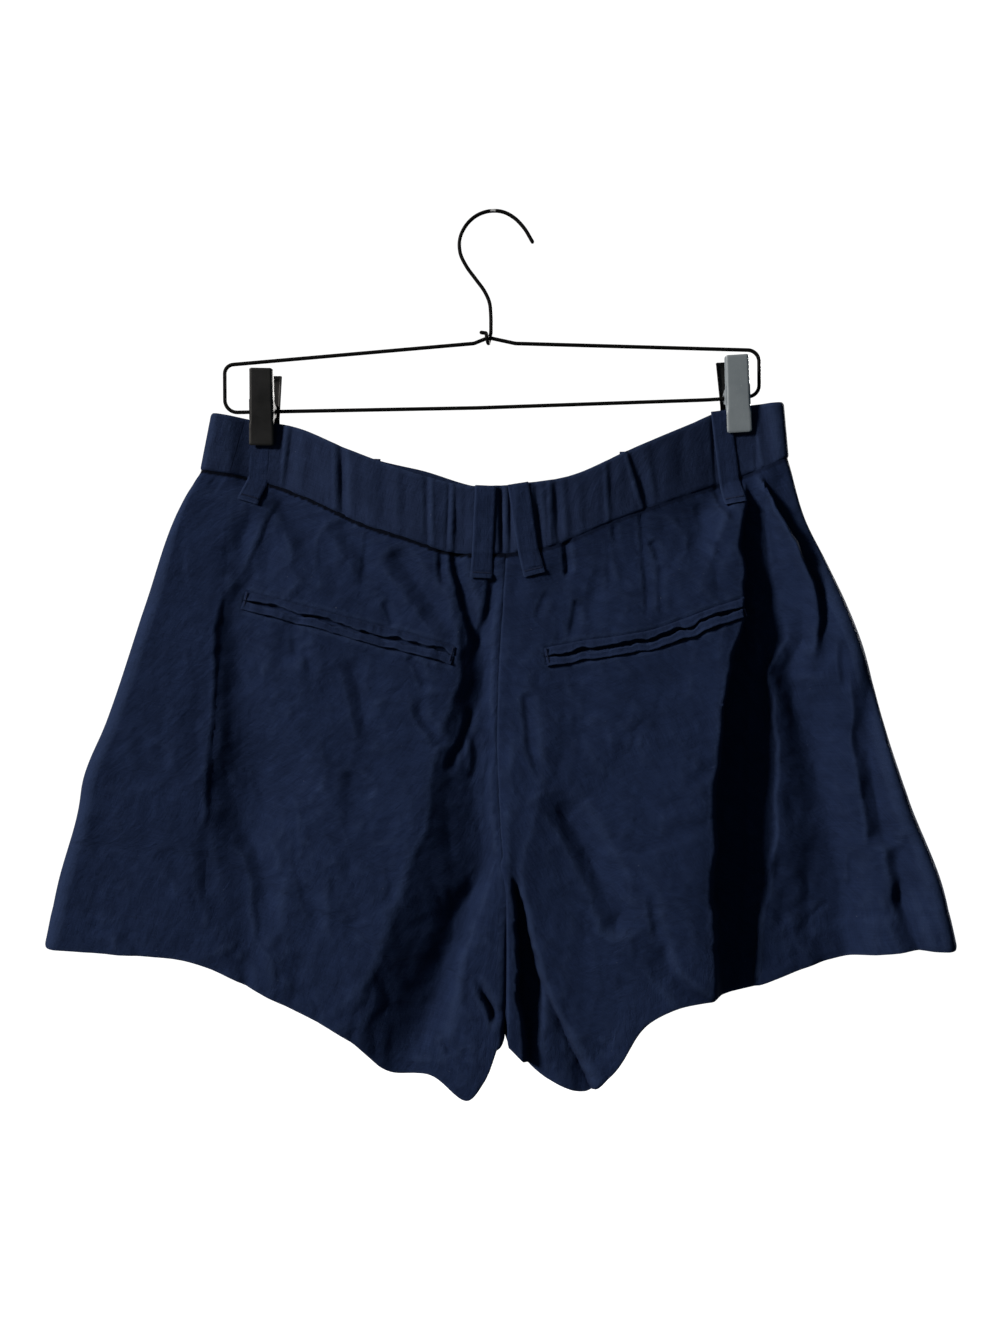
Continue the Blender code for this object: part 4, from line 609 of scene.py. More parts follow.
def eased(z, rows, column):
    """A named line's value at each height, with no overshoot between its rows."""
    r = np.array(sorted(rows), float)
    t, v = r[:, 0], r[:, column]
    fine = np.linspace(t[0], t[-1], 900)
    h = np.diff(t)
    d = np.diff(v) / h
    m = np.zeros(len(t))
    m[0], m[-1] = d[0], d[-1]
    for i in range(1, len(t) - 1):
        if d[i - 1] * d[i] > 0:
            m[i] = 2 * d[i - 1] * d[i] / (d[i - 1] + d[i])
    k = np.clip(np.searchsorted(t, fine, side="right") - 1, 0, len(t) - 2)
    s = (fine - t[k]) / h[k]
    return np.interp(z, fine, cubic(s, h[k], v[k], v[k + 1], m[k], m[k + 1]))


def loft(table, x, z):
    """Depth of the cloth between the named lines, smooth across and down."""
    x = x + 1.3 * noise(z / 17, x / 30, 7) + 0.6 * noise(z / 7, x / 12, 8)
    xs = [eased(z, rows, 1) for _, rows in table]
    ds = [eased(z, rows, 2) for _, rows in table]
    n = len(xs)
    slope = [(ds[i + 1] - ds[i]) / np.maximum(xs[i + 1] - xs[i], 0.3) for i in range(n - 1)]
    m = [slope[0]]
    for i in range(1, n - 1):
        a, b = slope[i - 1], slope[i]
        m.append(np.where(a * b > 0, 2 * a * b / np.where(np.abs(a + b) < 1e-9, 1e-9, a + b), 0.0))
    m.append(slope[-1])
    out = np.where(x < xs[0], ds[0], ds[-1])
    for i in range(n - 1):
        h = np.maximum(xs[i + 1] - xs[i], 0.3)
        r = (x - xs[i]) / h
        out = np.where((r >= 0) & (r <= 1), cubic(r, h, ds[i], ds[i + 1], m[i], m[i + 1]), out)
    return out


# each pocket's slit, from the wearer's left to right
WELTS = {"L": [(-162.0, -252.8), (-140.0, -258.2), (-104.0, -267.6), (-80.0, -274.0), (-58.0, -279.8),
    (-27.0, -288.6)],
         "R": [(30.5, -289.4), (55.0, -284.8), (80.0, -281.4), (100.0, -277.6), (120.0, -270.6),
         (140.0, -263.2),
               (157.5, -257.6)]}
WELT_HALF = 6.0


def welt_bed(x, z):
    """How far the cloth is pressed in round a pocket: a bed for the two lips, deeper under the slit."""
    total = np.zeros(np.shape(x))
    for path in WELTS.values():
        near = near_path(path, 9, x, z)
        if not near.any():
            continue
        s, along = side_of(path, x[near], z[near])
        inside = smooth(along / 0.008) * smooth((1 - along) / 0.008)
        bed = 1.0 * smooth((WELT_HALF + 1.3 - np.abs(s)) / 1.5) + 2.3 * smooth((2.6 - np.abs(s)) / 1.8)
        total[near] += bed * inside
    return total


def stand_out(face, x, z, pressed=True):
    """How far a panel's middle surface stands out from the hanger's plane."""
    back = face == "back"
    below = np.maximum(np.interp(x, SEAM_X, SEAM_Z) - z, 0.0)
    waist = waist_open(x, OPEN_BACK if back else OPEN_FRONT)
    body = loft(FORM_BACK if back else FORM_FRONT, x, z)
    reach = 66.0 - 48.0 * smooth((np.abs(x - 4) - 120) / 30.0)
    out = waist + (body - waist) * smooth(below / reach) ** 0.8
    out = out - folds_at(FOLDS_BACK if back else FOLDS_FRONT, x, z) - steps_at(face, x, z)
    if back and pressed:
        out = out - welt_bed(x, z)
    edge = np.minimum(x - x_of_z(RIM["L"], z), x_of_z(RIM["R"], z) - x)
    side = smooth((-165 - x) / 30) if back else 0.0 * x
    calm = (1 - 0.30 * side) * smooth(below / 16.0) * (0.35 + 0.65 * smooth(edge / 30.0))
    if back:
        calm = calm * (1 - 0.6 * smooth(1 - np.abs(x - 157) / 14))
    out = out + crumple(x, z, 0 if back else 5) * calm
    return np.maximum(out, PINCHED + 0.85 * smooth(below / 12.0))


# ---------------------------------------------------------------- the legs' surface
class Half:
    def __init__(self, side):
        self.side = side
        self.sign = -1.0 if side == "L" else 1.0
        self.top = Line(WAIST_SEAM[side])
        self.rim = Line(RIM[side])
        self.centre = Line(CENTRE[side])
        self.hem = {"back": Line(HEM_BACK[side]), "front": Line(HEM_FRONT[side])}

    def flat(self, face, xi, t):
        xi, t = np.broadcast_arrays(np.asarray(xi, float), np.asarray(t, float))
        top, hem, rim, mid = self.top.at(xi), self.hem[face].at(xi), self.rim.at(t), self.centre.at(t)
        a, b = self.top.at(0.0), self.top.at(1.0)
        c, d = self.hem[face].at(0.0), self.hem[face].at(1.0)
        u, v = xi[..., None], t[..., None]
        p = ((1 - v) * top + v * hem + (1 - u) * rim + u * mid
             - ((1 - u) * (1 - v) * a + u * (1 - v) * b + (1 - u) * v * c + u * v * d))
        x, z = p[..., 0], p[..., 1]
        if face == "front":
            z = z + front_rise(x) * (1 - smooth(t / 0.6))
        return x, z

    def shares(self, face, t):
        """Shares of the rim's turn, of the turn to the inseam, and of the side seam, for each row."""
        wide = np.abs(self.centre.at(t)[..., 0] - self.rim.at(t)[..., 0])
        rim = (RIM_BAND + (RIM_LEG - RIM_BAND) * smooth(t / 0.3)) / wide
        low = smooth((t - 0.62) / 0.38)
        turn = 0.012 + 0.006 * low
        if face == "front":
            turn = 0.05 + 0.07 * low
        u = np.linspace(0.0, 0.6, 121)
        seam = []
        for tt in t:
            x, z = self.flat("back", u, np.full_like(u, tt))
            seam.append(np.interp(0.0, (x - x_of_z(SIDE_SEAM[self.side], z)) * -self.sign, u))
        return rim, turn, np.array(seam)

    def place(self, face, xi, t, round_rim=1.0, round_in=1.0, meet=0.0):
        x, z = self.flat(face, xi, t)
        y = stand_out(face, x, z) * round_rim * round_in + GAP / 2 * round_rim
        k = self.closed(t)
        y = -y if face == "back" else y
        x = x - self.sign * 1.9 * smooth(k / 0.12) * meet * smooth((z + 526.0) / 20.0)
        x = x - 2.6 * np.tanh(y / 7.0) * meet * smooth(k / 0.5)
        return np.stack([x, y, z], axis=-1)

    def closed(self, t):
        """0 above the crotch, 1 where the leg is closed by its inseam."""
        z = self.centre.at(t)[..., 1]
        return np.clip((CROTCH_Z[0] - z) / (CROTCH_Z[0] - CROTCH_Z[1]), 0, 1)


def panel_columns(counts):
    """Columns of a leg strip, from the centre front to the side seam and on to the centre back."""
    turn, face, rim, side, back = counts
    front = [("front", "turn", a) for a in np.linspace(math.pi / 2, 0, turn)]
    front += [("front", "face", f) for f in np.linspace(1, 0, face)[1:]]
    front += [("front", "rim", a) for a in np.linspace(math.pi / 2, 0, rim)[1:]]
    front += [("back", "rim", a) for a in np.linspace(0, math.pi / 2, rim)[1:]]
    front += [("back", "side", f) for f in np.linspace(0, 1, side)[1:]]
    rear = [("back", "back", f) for f in np.linspace(0, 1, back)]
    rear += [("back", "turn", a) for a in np.linspace(0, math.pi / 2, turn)[1:]]
    return front, rear


def leg_strip(side, counts, rows):
    half = Half(side)
    t = np.linspace(0, 1, rows)
    shares = {f: half.shares(f, t) for f in ("front", "back")}
    k = half.closed(t)
    front, rear = panel_columns(counts)
    xi, rr, ri, meet, faces = [], [], [], [], []
    one = np.ones_like(t)
    for face, kind, value in front + rear:
        xr, xt, xs = shares[face]
        faces.append(face)
        if kind == "rim":
            xi.append(xr * (1 - math.cos(value)))
        elif kind == "side":
            xi.append(xr + (xs - xr) * value)
        elif kind == "back":
            xi.append(xs + (1 - xt - xs) * value)
        elif kind == "face":
            xi.append(xr + (1 - xt - xr) * value)
        else:
            xi.append(1 - xt + xt * math.sin(value))
        rr.append(one * (math.sin(value) if kind == "rim" else 1.0))
        ri.append(np.sqrt(np.maximum(1 - (k * math.sin(value)) ** 2, 0.0)) if kind == "turn" else one)
        meet.append(one * (1 - (1 - math.sin(value)) ** 3 if kind == "turn" else 0.0))
    xi, rr, ri, meet = (np.array(v) for v in (xi, rr, ri, meet))
    faces = np.array(faces)
    grid = np.zeros(xi.shape + (3,))
    tt = np.broadcast_to(t, xi.shape)
    for f in ("front", "back"):
        pick = faces == f
        grid[pick] = half.place(f, xi[pick], tt[pick], rr[pick], ri[pick], meet[pick])
    return half, grid, len(front) - 1, k


def normals_of(grid):
    n = np.cross(np.gradient(grid, axis=0), np.gradient(grid, axis=1))
    return unit(n)


def lengths(grid):
    """Distances along the cloth in mm: across from the first column, and down from the first row."""
    u = np.concatenate([np.zeros((1, grid.shape[1])),
                        np.cumsum(np.linalg.norm(np.diff(grid, axis=0), axis=-1), axis=0)])
    v = np.concatenate([np.zeros((grid.shape[0], 1)),
                        np.cumsum(np.linalg.norm(np.diff(grid, axis=1), axis=-1), axis=1)], axis=1)
    return u, v


# ---------------------------------------------------------------- meshes
def finish_mesh(name, verts, faces, mat, sharp=None):
    mesh = bpy.data.meshes.new(name)
    mesh.from_pydata((np.asarray(verts, float) * MM).tolist(), [], [list(map(int, f)) for f in faces])
    mesh.validate()
    mesh.polygons.foreach_set("use_smooth", [True] * len(mesh.polygons))
    if sharp is not None:
        mesh.set_sharp_from_angle(angle=math.radians(sharp))
    mesh.materials.append(mat)
    made = bpy.data.objects.new(name, mesh)
    bpy.context.scene.collection.objects.link(made)
    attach(made, "root")
    return made


def attribute(made, name, values):
    values = np.asarray(values, float)
    kind = "FLOAT" if values.ndim == 1 else "FLOAT_VECTOR"
    a = made.data.attributes.new(name, kind, "POINT")
    a.data.foreach_set("value" if values.ndim == 1 else "vector", values.ravel())


def volume(verts, faces):
    v = np.asarray(verts)
    f = np.asarray([q[:3] for q in faces])
    g = np.asarray([(q[0], q[2], q[-1]) for q in faces])
    total = sum(np.einsum("ij,ij->i", v[h[:, 0]], np.cross(v[h[:, 1]], v[h[:, 2]])).sum() for h in (f, g))
    return total / 6


def closed_shell(grid, normal, wall, thinned, soft_edge=(True, True, True, True)):
    """A closed shell round a grid [column, row]. Its two outermost rows thin by the given shares."""
    nu, nv = grid.shape[:2]
    wall = np.array(np.broadcast_to(np.asarray(wall, float), (nu, nv)))
    for k, share in enumerate(thinned):
        if soft_edge[0]:
            wall[k] *= share
        if soft_edge[1]:
            wall[-1 - k] *= share
        if soft_edge[2]:
            wall[:, k] *= share
        if soft_edge[3]:
            wall[:, -1 - k] *= share
    a = grid + normal * wall[..., None] / 2
    b = grid - normal * wall[..., None] / 2
    verts = np.concatenate([a.reshape(-1, 3), b.reshape(-1, 3)])
    shift = nu * nv
    i, j = np.meshgrid(np.arange(nu - 1), np.arange(nv - 1), indexing="ij")
    q = np.stack([i * nv + j, (i + 1) * nv + j, (i + 1) * nv + j + 1, i * nv + j + 1], -1).reshape(-1, 4)
    ring = ([(c, 0) for c in range(nu)] + [(nu - 1, r) for r in range(1, nv)]
            + [(c, nv - 1) for c in range(nu - 2, -1, -1)] + [(0, r) for r in range(nv - 2, 0, -1)])
    ids = np.array([c * nv + r for c, r in ring])
    nxt = np.roll(ids, -1)
    faces = np.concatenate([q, q[:, ::-1] + shift, np.stack([nxt, ids, ids + shift, nxt + shift], -1)])
    return verts, faces[:, ::-1] if volume(verts, faces) < 0 else faces


def cloth(name, grid, wall, mat, normal, wear_and_painted_highlight, uv=None, soft_edge=(True, True, True, True)):
    """A closed sheet of cloth from a grid [column, row], thinner where its edges are folded round."""
    nu, nv = grid.shape[:2]
    verts, faces = closed_shell(grid, normal, wall, (0.3, 0.85), soft_edge)
    made = finish_mesh(name, verts, faces, mat, sharp=62)
    u, v = lengths(grid) if uv is None else uv
    flat = np.stack([u, v, np.zeros_like(u)], -1).reshape(-1, 3)
    attribute(made, "cloth", np.concatenate([flat, flat]))
    # painted highlight: fold crests, found from the surface's curvature, are made paler, together with the
    # rubbed edges passed in
    lap = np.zeros((nu, nv))
    w = 2
    lap[w:-w, w:-w] = ((grid[w:-w, w:-w] - (grid[2 * w:, w:-w] + grid[:-2 * w, w:-w] + grid[w:-w, 2 * w:]
                        + grid[w:-w, :-2 * w]) / 4) * normal[w:-w, w:-w]).sum(-1)
    crest = np.clip(lap / 0.28, 0, 1) * 0.55
    crest = np.maximum(crest, wear_and_painted_highlight)
    attribute(made, "wear_and_painted_highlight", np.concatenate([crest.ravel(), crest.ravel() * 0.4]))
    return made


def sheet_size(made, width, length):
    """Works out the cloth's own area, capped just under the rectangle that it is cut from, and keeps nothing.
    """
    area = sum(p.area for p in made.data.polygons) / 2
    area = min(area, width * length * 0.999)


# ---------------------------------------------------------------- materials
def shader_of(name):
    mat = bpy.data.materials.new(name)
    mat.use_nodes = True
    tree = mat.node_tree
    return mat, tree, tree.nodes["Principled BSDF"]


class Nodes:
    """Short ways to add and join shader nodes."""

    def __init__(self, tree):
        self.tree = tree

    def add(self, kind, **props):
        node = self.tree.nodes.new(kind)
        for key, value in props.items():
            setattr(node, key, value)
        return node

    def put(self, target, value):
        if isinstance(value, bpy.types.NodeSocket):
            self.tree.links.new(value, target)
        else:
            target.default_value = value

    def math(self, how, a, b=0.0, c=None, clamp=False):
        node = self.add("ShaderNodeMath", operation=how, use_clamp=clamp)
        self.put(node.inputs[0], a)
        self.put(node.inputs[1], b)
        if c is not None:
            self.put(node.inputs[2], c)
        return node.outputs[0]

    def noise(self, vector, scale, detail=2.0, rough=0.5):
        node = self.add("ShaderNodeTexNoise")
        self.put(node.inputs["Vector"], vector)
        node.inputs["Scale"].default_value = scale
        node.inputs["Detail"].default_value = detail
        node.inputs["Roughness"].default_value = rough
        return node.outputs["Fac"]

    def stretch(self, vector, scale):
        node = self.add("ShaderNodeMapping")
        self.put(node.inputs["Vector"], vector)
        node.inputs["Scale"].default_value = scale
        return node.outputs["Vector"]

    def range(self, value, a, b, c, d):
        node = self.add("ShaderNodeMapRange")
        self.put(node.inputs["Value"], value)
        for key, v in zip(("From Min", "From Max", "To Min", "To Max"), (a, b, c, d)):
            node.inputs[key].default_value = v
        return node.outputs["Result"]

    def mix(self, share, a, b, how="MIX"):
        node = self.add("ShaderNodeMix", data_type="RGBA", blend_type=how)
        self.put(node.inputs[0], share)
        for socket, value in ((node.inputs[6], a), (node.inputs[7], b)):
            self.put(socket, value if isinstance(value, bpy.types.NodeSocket) else (*value, 1.0))
        return node.outputs[2]

    def bump(self, height, distance, strength, under=None):
        node = self.add("ShaderNodeBump")
        self.put(node.inputs["Height"], height)
        node.inputs["Distance"].default_value = distance
        node.inputs["Strength"].default_value = strength
        if under is not None:
            self.put(node.inputs["Normal"], under)
        return node.outputs["Normal"]


def linen(name, deep=(0.0106, 0.0192, 0.0520), light=(0.026, 0.043, 0.096), tint=1.0, painted_seam_shade=False):
    """Navy plain-weave linen: uneven yarns both ways, mottled dye, and paler edges and fold crests, partly
    rubbed wear and partly painted highlight.
    """
    mat, tree, skin = shader_of(name)
    n = Nodes(tree)
    place = n.add("ShaderNodeAttribute", attribute_name="cloth").outputs["Vector"]
    wear_and_painted_highlight = n.add("ShaderNodeAttribute", attribute_name="wear_and_painted_highlight").outputs["Fac"]
    parts = n.add("ShaderNodeSeparateXYZ")
    n.put(parts.inputs[0], place)
    pitch = 0.62
    warp = n.math("SINE", n.math("MULTIPLY", parts.outputs["X"], 2 * math.pi / pitch))
    weft = n.math("SINE", n.math("MULTIPLY", parts.outputs["Y"], 2 * math.pi / pitch))
    weave = n.math("MULTIPLY", warp, weft)
    slub_u = n.noise(n.stretch(place, (1.5, 0.035, 1.0)), 1.0, 2.0, 0.6)
    slub_v = n.noise(n.stretch(place, (0.03, 1.6, 1.0)), 1.0, 2.0, 0.6)
    slubs = n.math("ADD", slub_u, slub_v)
    dye = n.noise(place, 0.035, 4.0, 0.55)
    fleck = n.noise(place, 0.9, 2.0, 0.7)
    base = n.mix(n.range(slubs, 0.72, 1.30, 0.0, 1.0), tuple(c * 0.80 * tint for c in deep),
                 tuple(c * 1.28 * tint for c in deep))
    base = n.mix(n.range(dye, 0.3, 0.7, 0.0, 0.30), base, tuple(c * 1.6 * tint for c in deep))
    mottle = n.noise(n.stretch(place, (1.0, 0.62, 1.0)), 0.11, 3.0, 0.62)
    base = n.mix(n.range(mottle, 0.36, 0.64, 0.0, 0.34), base, tuple(c * 0.52 * tint for c in deep))
    # rubbed wear and painted highlight: the pale colour is mixed in along fold crests and edges
    rubbed_and_highlit = n.math("MULTIPLY", wear_and_painted_highlight, n.range(fleck, 0.25, 0.75, 0.35, 1.0))
    base = n.mix(n.math("MULTIPLY", rubbed_and_highlit, 0.85), base, light)
    speck = n.range(n.noise(place, 0.42, 1.0, 0.4), 0.80, 0.83, 0.0, 0.5)
    base = n.mix(speck, base, (0.10, 0.12, 0.17))
    if painted_seam_shade:
        # painted shade: a dark line along the waist seam, where the panels run in under the band. It is at
        # full strength on the left and fades to half strength from the middle to 40 mm right of it.
        sway = n.range(n.noise(n.stretch(place, (0.35, 0.02, 1.0)), 1.0, 2.0, 0.5), 0.3, 0.7, 1.2, 2.8)
        pressed = n.range(n.math("SUBTRACT", parts.outputs["Y"], sway), -0.6, 0.7, 0.96, 0.0)
        aside = n.add("ShaderNodeSeparateXYZ")
        n.put(aside.inputs[0], n.add("ShaderNodeTexCoord").outputs["Object"])
        pressed = n.math("MULTIPLY", pressed, n.range(aside.outputs["X"], 0.0, 0.04, 1.0, 0.5))
        base = n.mix(pressed, base, tuple(c * 0.10 for c in deep))
    n.put(skin.inputs["Base Color"], base)
    n.put(skin.inputs["Roughness"], n.range(slubs, 0.7, 1.3, 0.92, 0.78))
    skin.inputs["Specular IOR Level"].default_value = 0.035
    skin.inputs["Sheen Weight"].default_value = 0.012
    skin.inputs["Sheen Roughness"].default_value = 0.5
    skin.inputs["Sheen Tint"].default_value = (0.55, 0.68, 1.0, 1.0)
    soft = n.noise(n.stretch(place, (1.0, 0.7, 1.0)), 0.15, 4.0, 0.6)
    under = n.bump(soft, 0.0020, 0.55)
    under = n.bump(slubs, 0.00032, 0.5, under)
    n.put(skin.inputs["Normal"], n.bump(weave, 0.00012, 0.6, under))
    return mat


def thread(name):
    mat, tree, skin = shader_of(name)
    n = Nodes(tree)
    where = n.add("ShaderNodeTexCoord").outputs["Object"]
    shade = n.noise(where, 900.0, 2.0)
    n.put(skin.inputs["Base Color"], n.mix(shade, (0.007, 0.012, 0.034), (0.013, 0.021, 0.052)))
    n.put(skin.inputs["Roughness"], n.range(shade, 0.3, 0.7, 0.5, 0.72))
    skin.inputs["Sheen Weight"].default_value = 0.02
    skin.inputs["Specular IOR Level"].default_value = 0.08
    n.put(skin.inputs["Normal"], n.bump(n.noise(where, 4000.0, 1.0), 0.0001, 0.4))
    return mat


def lacquer(name, dark, pale, rough, metallic, grain, pale_top_patch=False, gloss=0.5, relief=0.35):
    """Coated wire or pressed metal: a slightly uneven coat, small scuffs and dust."""
    mat, tree, skin = shader_of(name)
    n = Nodes(tree)
    where = n.add("ShaderNodeTexCoord").outputs["Object"]
    cloud = n.noise(where, 60.0, 4.0, 0.6)
    scuff = n.range(n.noise(n.stretch(where, (1.0, 1.0, 0.12)), 1400.0, 2.0, 0.7), 0.66, 0.78, 0.0, 0.6)
    colour = n.mix(n.range(cloud, 0.35, 0.7, 0.0, 0.5), dark, pale)
    colour = n.mix(scuff, colour, tuple(min(1.0, c * 1.6 + 0.01) for c in pale))
    rough_here = n.range(cloud, 0.3, 0.7, rough - 0.07, rough + 0.09)
    metal = metallic
    # a pale metallic patch near the top of the hook
    if pale_top_patch:
        split = n.add("ShaderNodeSeparateXYZ")
        n.put(split.inputs[0], where)
        reach = n.math("ABSOLUTE", n.math("ADD", split.outputs["X"], 0.0026))
        side = n.range(reach, 0.0012, 0.0019, 1.0, 0.0)
        up = n.range(split.outputs["Z"], 0.0004, 0.0010, 0.0, 1.0)
        patch = n.math("MULTIPLY", side, up)
        colour = n.mix(patch, colour, (0.75, 0.75, 0.74))
        metal = n.math("MULTIPLY", patch, 0.8)
    n.put(skin.inputs["Base Color"], colour)
    n.put(skin.inputs["Roughness"], rough_here)
    n.put(skin.inputs["Metallic"], metal)
    skin.inputs["Specular IOR Level"].default_value = gloss
    n.put(skin.inputs["Normal"], n.bump(n.noise(where, grain, 3.0, 0.6), 0.00012, relief))
    return mat


BACK = linen("linen_back_cloth", painted_seam_shade=True)
FRONT = linen("linen_front_cloth", painted_seam_shade=True)
BAND_CLOTH = linen("linen_band_cloth", deep=(0.0124, 0.0208, 0.0520))
TRIM = linen("linen_trim_cloth", deep=(0.0112, 0.0196, 0.0510))
THREAD = thread("navy_thread")
BLACK_WIRE = lacquer("black_wire", (0.0036, 0.0036, 0.0036), (0.008, 0.0078, 0.0074), 0.5, 0.0, 2500.0,
                     True, 0.05, 0.06)
CLIP_DARK = lacquer("clip_black_coat", (0.0034, 0.0036, 0.0037), (0.0072, 0.0076, 0.0078), 0.5, 0.0, 1800.0,
                    False, 0.3)
# painted reflection: the right near plate's black coat, made grey to stand in for the light it reflects
CLIP_PAINTED_REFLECTION = lacquer("clip_grey_coat", (0.22, 0.255, 0.275), (0.30, 0.34, 0.36), 0.40, 0.15, 1800.0)
STEEL = lacquer("spring_steel_coat", (0.020, 0.020, 0.020), (0.045, 0.045, 0.044), 0.40, 0.5, 3000.0,
                False, 0.3)
HORN = lacquer("button_resin", (0.010, 0.013, 0.022), (0.028, 0.034, 0.050), 0.26, 0.0, 900.0)


# ---------------------------------------------------------------- legs
# columns of a leg: turn to the inseam, front face, rim, side of the back, rest of the back
COUNTS = {"L": (16, 76, 10, 62, 132), "R": (16, 72, 10, 74, 124)}
ROWS_DOWN = 250
STRIPS = {}


def outward(grid, pick, want):
    normal = normals_of(grid)
    if (normal[pick][1]) * want < 0:
        normal = -normal
    return normal


def make_leg(side):
    half, grid, seam, k = leg_strip(side, COUNTS[side], ROWS_DOWN)
    normal = outward(grid, (seam + 30, 20), -1.0)
    u, v = lengths(grid)
    to_hem = v[:, -1:] - v
    # the turned-up hem: a stitched line pulled in, small puckers along it, and a slightly proud doubled edge
    line = np.exp(-((to_hem - HEM_DEEP) / 1.4) ** 2)
    pucker = noise(u / 4.5, to_hem / 30, 7) * np.exp(-((to_hem - HEM_DEEP) / 5.0) ** 2)
    bump = 0.10 * smooth((HEM_DEEP - to_hem) / 6.0) - 0.06 * line + 0.20 * pucker
    bump += 0.35 * noise(u / 13, to_hem / 40, 8) * smooth((HEM_DEEP + 8 - to_hem) / 10)
    # side seam: a pulled line with the allowance lying to one side
    off = u - u[seam]
    bump += -0.10 * np.exp(-(off / 1.4) ** 2) + 0.14 * np.exp(-((off - 4.5) / 3.6) ** 2)
    bump += 0.16 * noise(v / 6.0, off / 9, 9) * np.exp(-(off / 6.0) ** 2)
    # centre seam: the same
    for end in (0, -1):
        away = np.abs(u - u[end])
        bump += -0.45 * np.exp(-(away / 0.9) ** 2) + 0.25 * np.exp(-((away - 4.0) / 2.6) ** 2)
        bump += 0.25 * noise(v / 5.5, away / 9, 10 + (side == "L")) * np.exp(-(away / 6.0) ** 2)
    # waist seam: puckered where it is sewn to the gathered band
    bump += (0.35 * noise(u / 5.0, v / 14, 3) - 0.15) * np.exp(-(v / 9.0) ** 2) * smooth(v / 1.5)
    fade = smooth(v / 2.0)
    moved = grid + normal * (bump * fade)[..., None]
    normal = outward(moved, (seam + 30, 20), -1.0)
    normal[:, 0, 2] = 0.0
    shut = smooth(k / 0.25)
    turn = COUNTS[side][0]
    for end in range(turn):
        damp = smooth(end / (turn - 1.0))
        for c in (end, -1 - end):
            normal[c, :, 0] *= shut + (1 - shut) * damp
    for end in (0, -1):
        normal[end, :, 1] *= 1 - smooth((k - 0.4) / 0.5)
        normal[end, :, 0] += 1e-3 * half.sign * -1
    normal = unit(normal)
    for end, step in ((0, 1), (-1, -1)):
        along = unit(moved[end] - moved[end + step])
        moved[end] = moved[end] + along * (0.12 * (1 - smooth(k / 0.25)))[:, None]
    moved[:, 0, 2] += 0.8
    wall = CLOTH + (HEM_CLOTH - CLOTH) * smooth((HEM_DEEP - to_hem) / 9.0)
    # paler hem fold, hem stitch line and seam edges: rubbed wear and painted highlight
    edge = np.maximum(0.75 * np.exp(-(to_hem / 1.6) ** 2), 0.05 * np.exp(-((to_hem - HEM_DEEP) / 0.8) ** 2))
    edge = np.maximum(edge, 0.12 * np.exp(-((off - 1.2) / 1.2) ** 2) * smooth(0.5 + noise(v / 16, 0 * v, 2)))
    for end in (0, -1):
        edge = np.maximum(edge, 0.45 * np.exp(-((np.abs(u - u[end]) - 0.8) / 0.9) ** 2))
    across = unit(moved[seam + 1] - moved[seam - 1])
    word = WORD[side]
    front = moved[:seam + 1].copy()
    front[-1] += across * 0.12
    rear = moved[seam:].copy()
    rear[0] -= across * 0.12
    a = cloth("front_panel_" + word, front, wall[:seam + 1], FRONT, normal[:seam + 1], edge[:seam + 1],
              (u[:seam + 1], v[:seam + 1]), (True, False, True, True))
    b = cloth("back_panel_" + word, rear, wall[seam:], BACK, normal[seam:], edge[seam:], (u[seam:], v[seam:]),
              (False, True, True, True))
    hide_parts("front_" + word)
    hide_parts("back_" + word)
    STRIPS[side] = {"grid": moved, "normal": normal, "to_hem": to_hem, "wall": wall}
    return a, b


# ---------------------------------------------------------------- waistband
def band_point(side, face, xi, v, round_rim=1.0, extra=0.0):
    xi, v = np.broadcast_arrays(np.asarray(xi, float), np.asarray(v, float))
    lean = xi + 0.055 * np.sin(math.pi * xi)
    up = Line(TOP_EDGE[side]).at(lean)
    low = Line(WAIST_SEAM[side]).at(xi)
    p = up + (low - up) * v[..., None]
    x, z = p[..., 0], p[..., 1]
    out = waist_open(x, OPEN_BACK if face == "back" else OPEN_FRONT)
    if face == "front":
        z = z + front_rise(x)
        out = out + 0.25 * noise(x / 16, v * 2, 6) * smooth(1 - np.abs(v - 0.5) * 2)
    else:
        hold = 0.35 + 0.65 * np.sin(math.pi * np.clip(v, 0, 1)) ** 0.6
        for top, seam_x, deep, wide_l, wide_r, keen in GATHERS:
            s = x - (top + (seam_x - top) * v)
            soft = smooth(1 - np.abs(s) / np.where(s < 0, wide_l, wide_r))
            sharp = np.clip(1 - (s / wide_l) ** 2, 0, 1)
            out = out - deep * hold * np.where(s < 0, soft + (sharp - soft) * keen, soft)
        flat = smooth((142 - np.abs(x - 2)) / 12)
        out = out + (0.45 * facets(x / 9.0, v * 1.5, 4) + 0.24 * noise(x / 5.0, v * 2.6, 5)) * hold * flat
        out = out + 0.35 * noise(x / 17, v * 2.2, 2) * smooth(1 - np.abs(v - 0.5) * 2)
    out = np.maximum(out, PINCHED)
    y = (out + extra) * round_rim
    return np.stack([x, -y if face == "back" else y, z], axis=-1)


def band_xi(side, x, v=0.5):
    u = np.linspace(0, 1, 401)
    xs = band_point(side, "back", u, np.full_like(u, v))[:, 0]
    order = np.argsort(xs)
    return float(np.interp(x, xs[order], u[order]))


BAND_DOWN = 34
V_ROWS = np.linspace(0, 1, BAND_DOWN)


def band_seam_share(side):
    return round(band_xi(side, {"L": -168.0, "R": 171.0}[side]), 4)


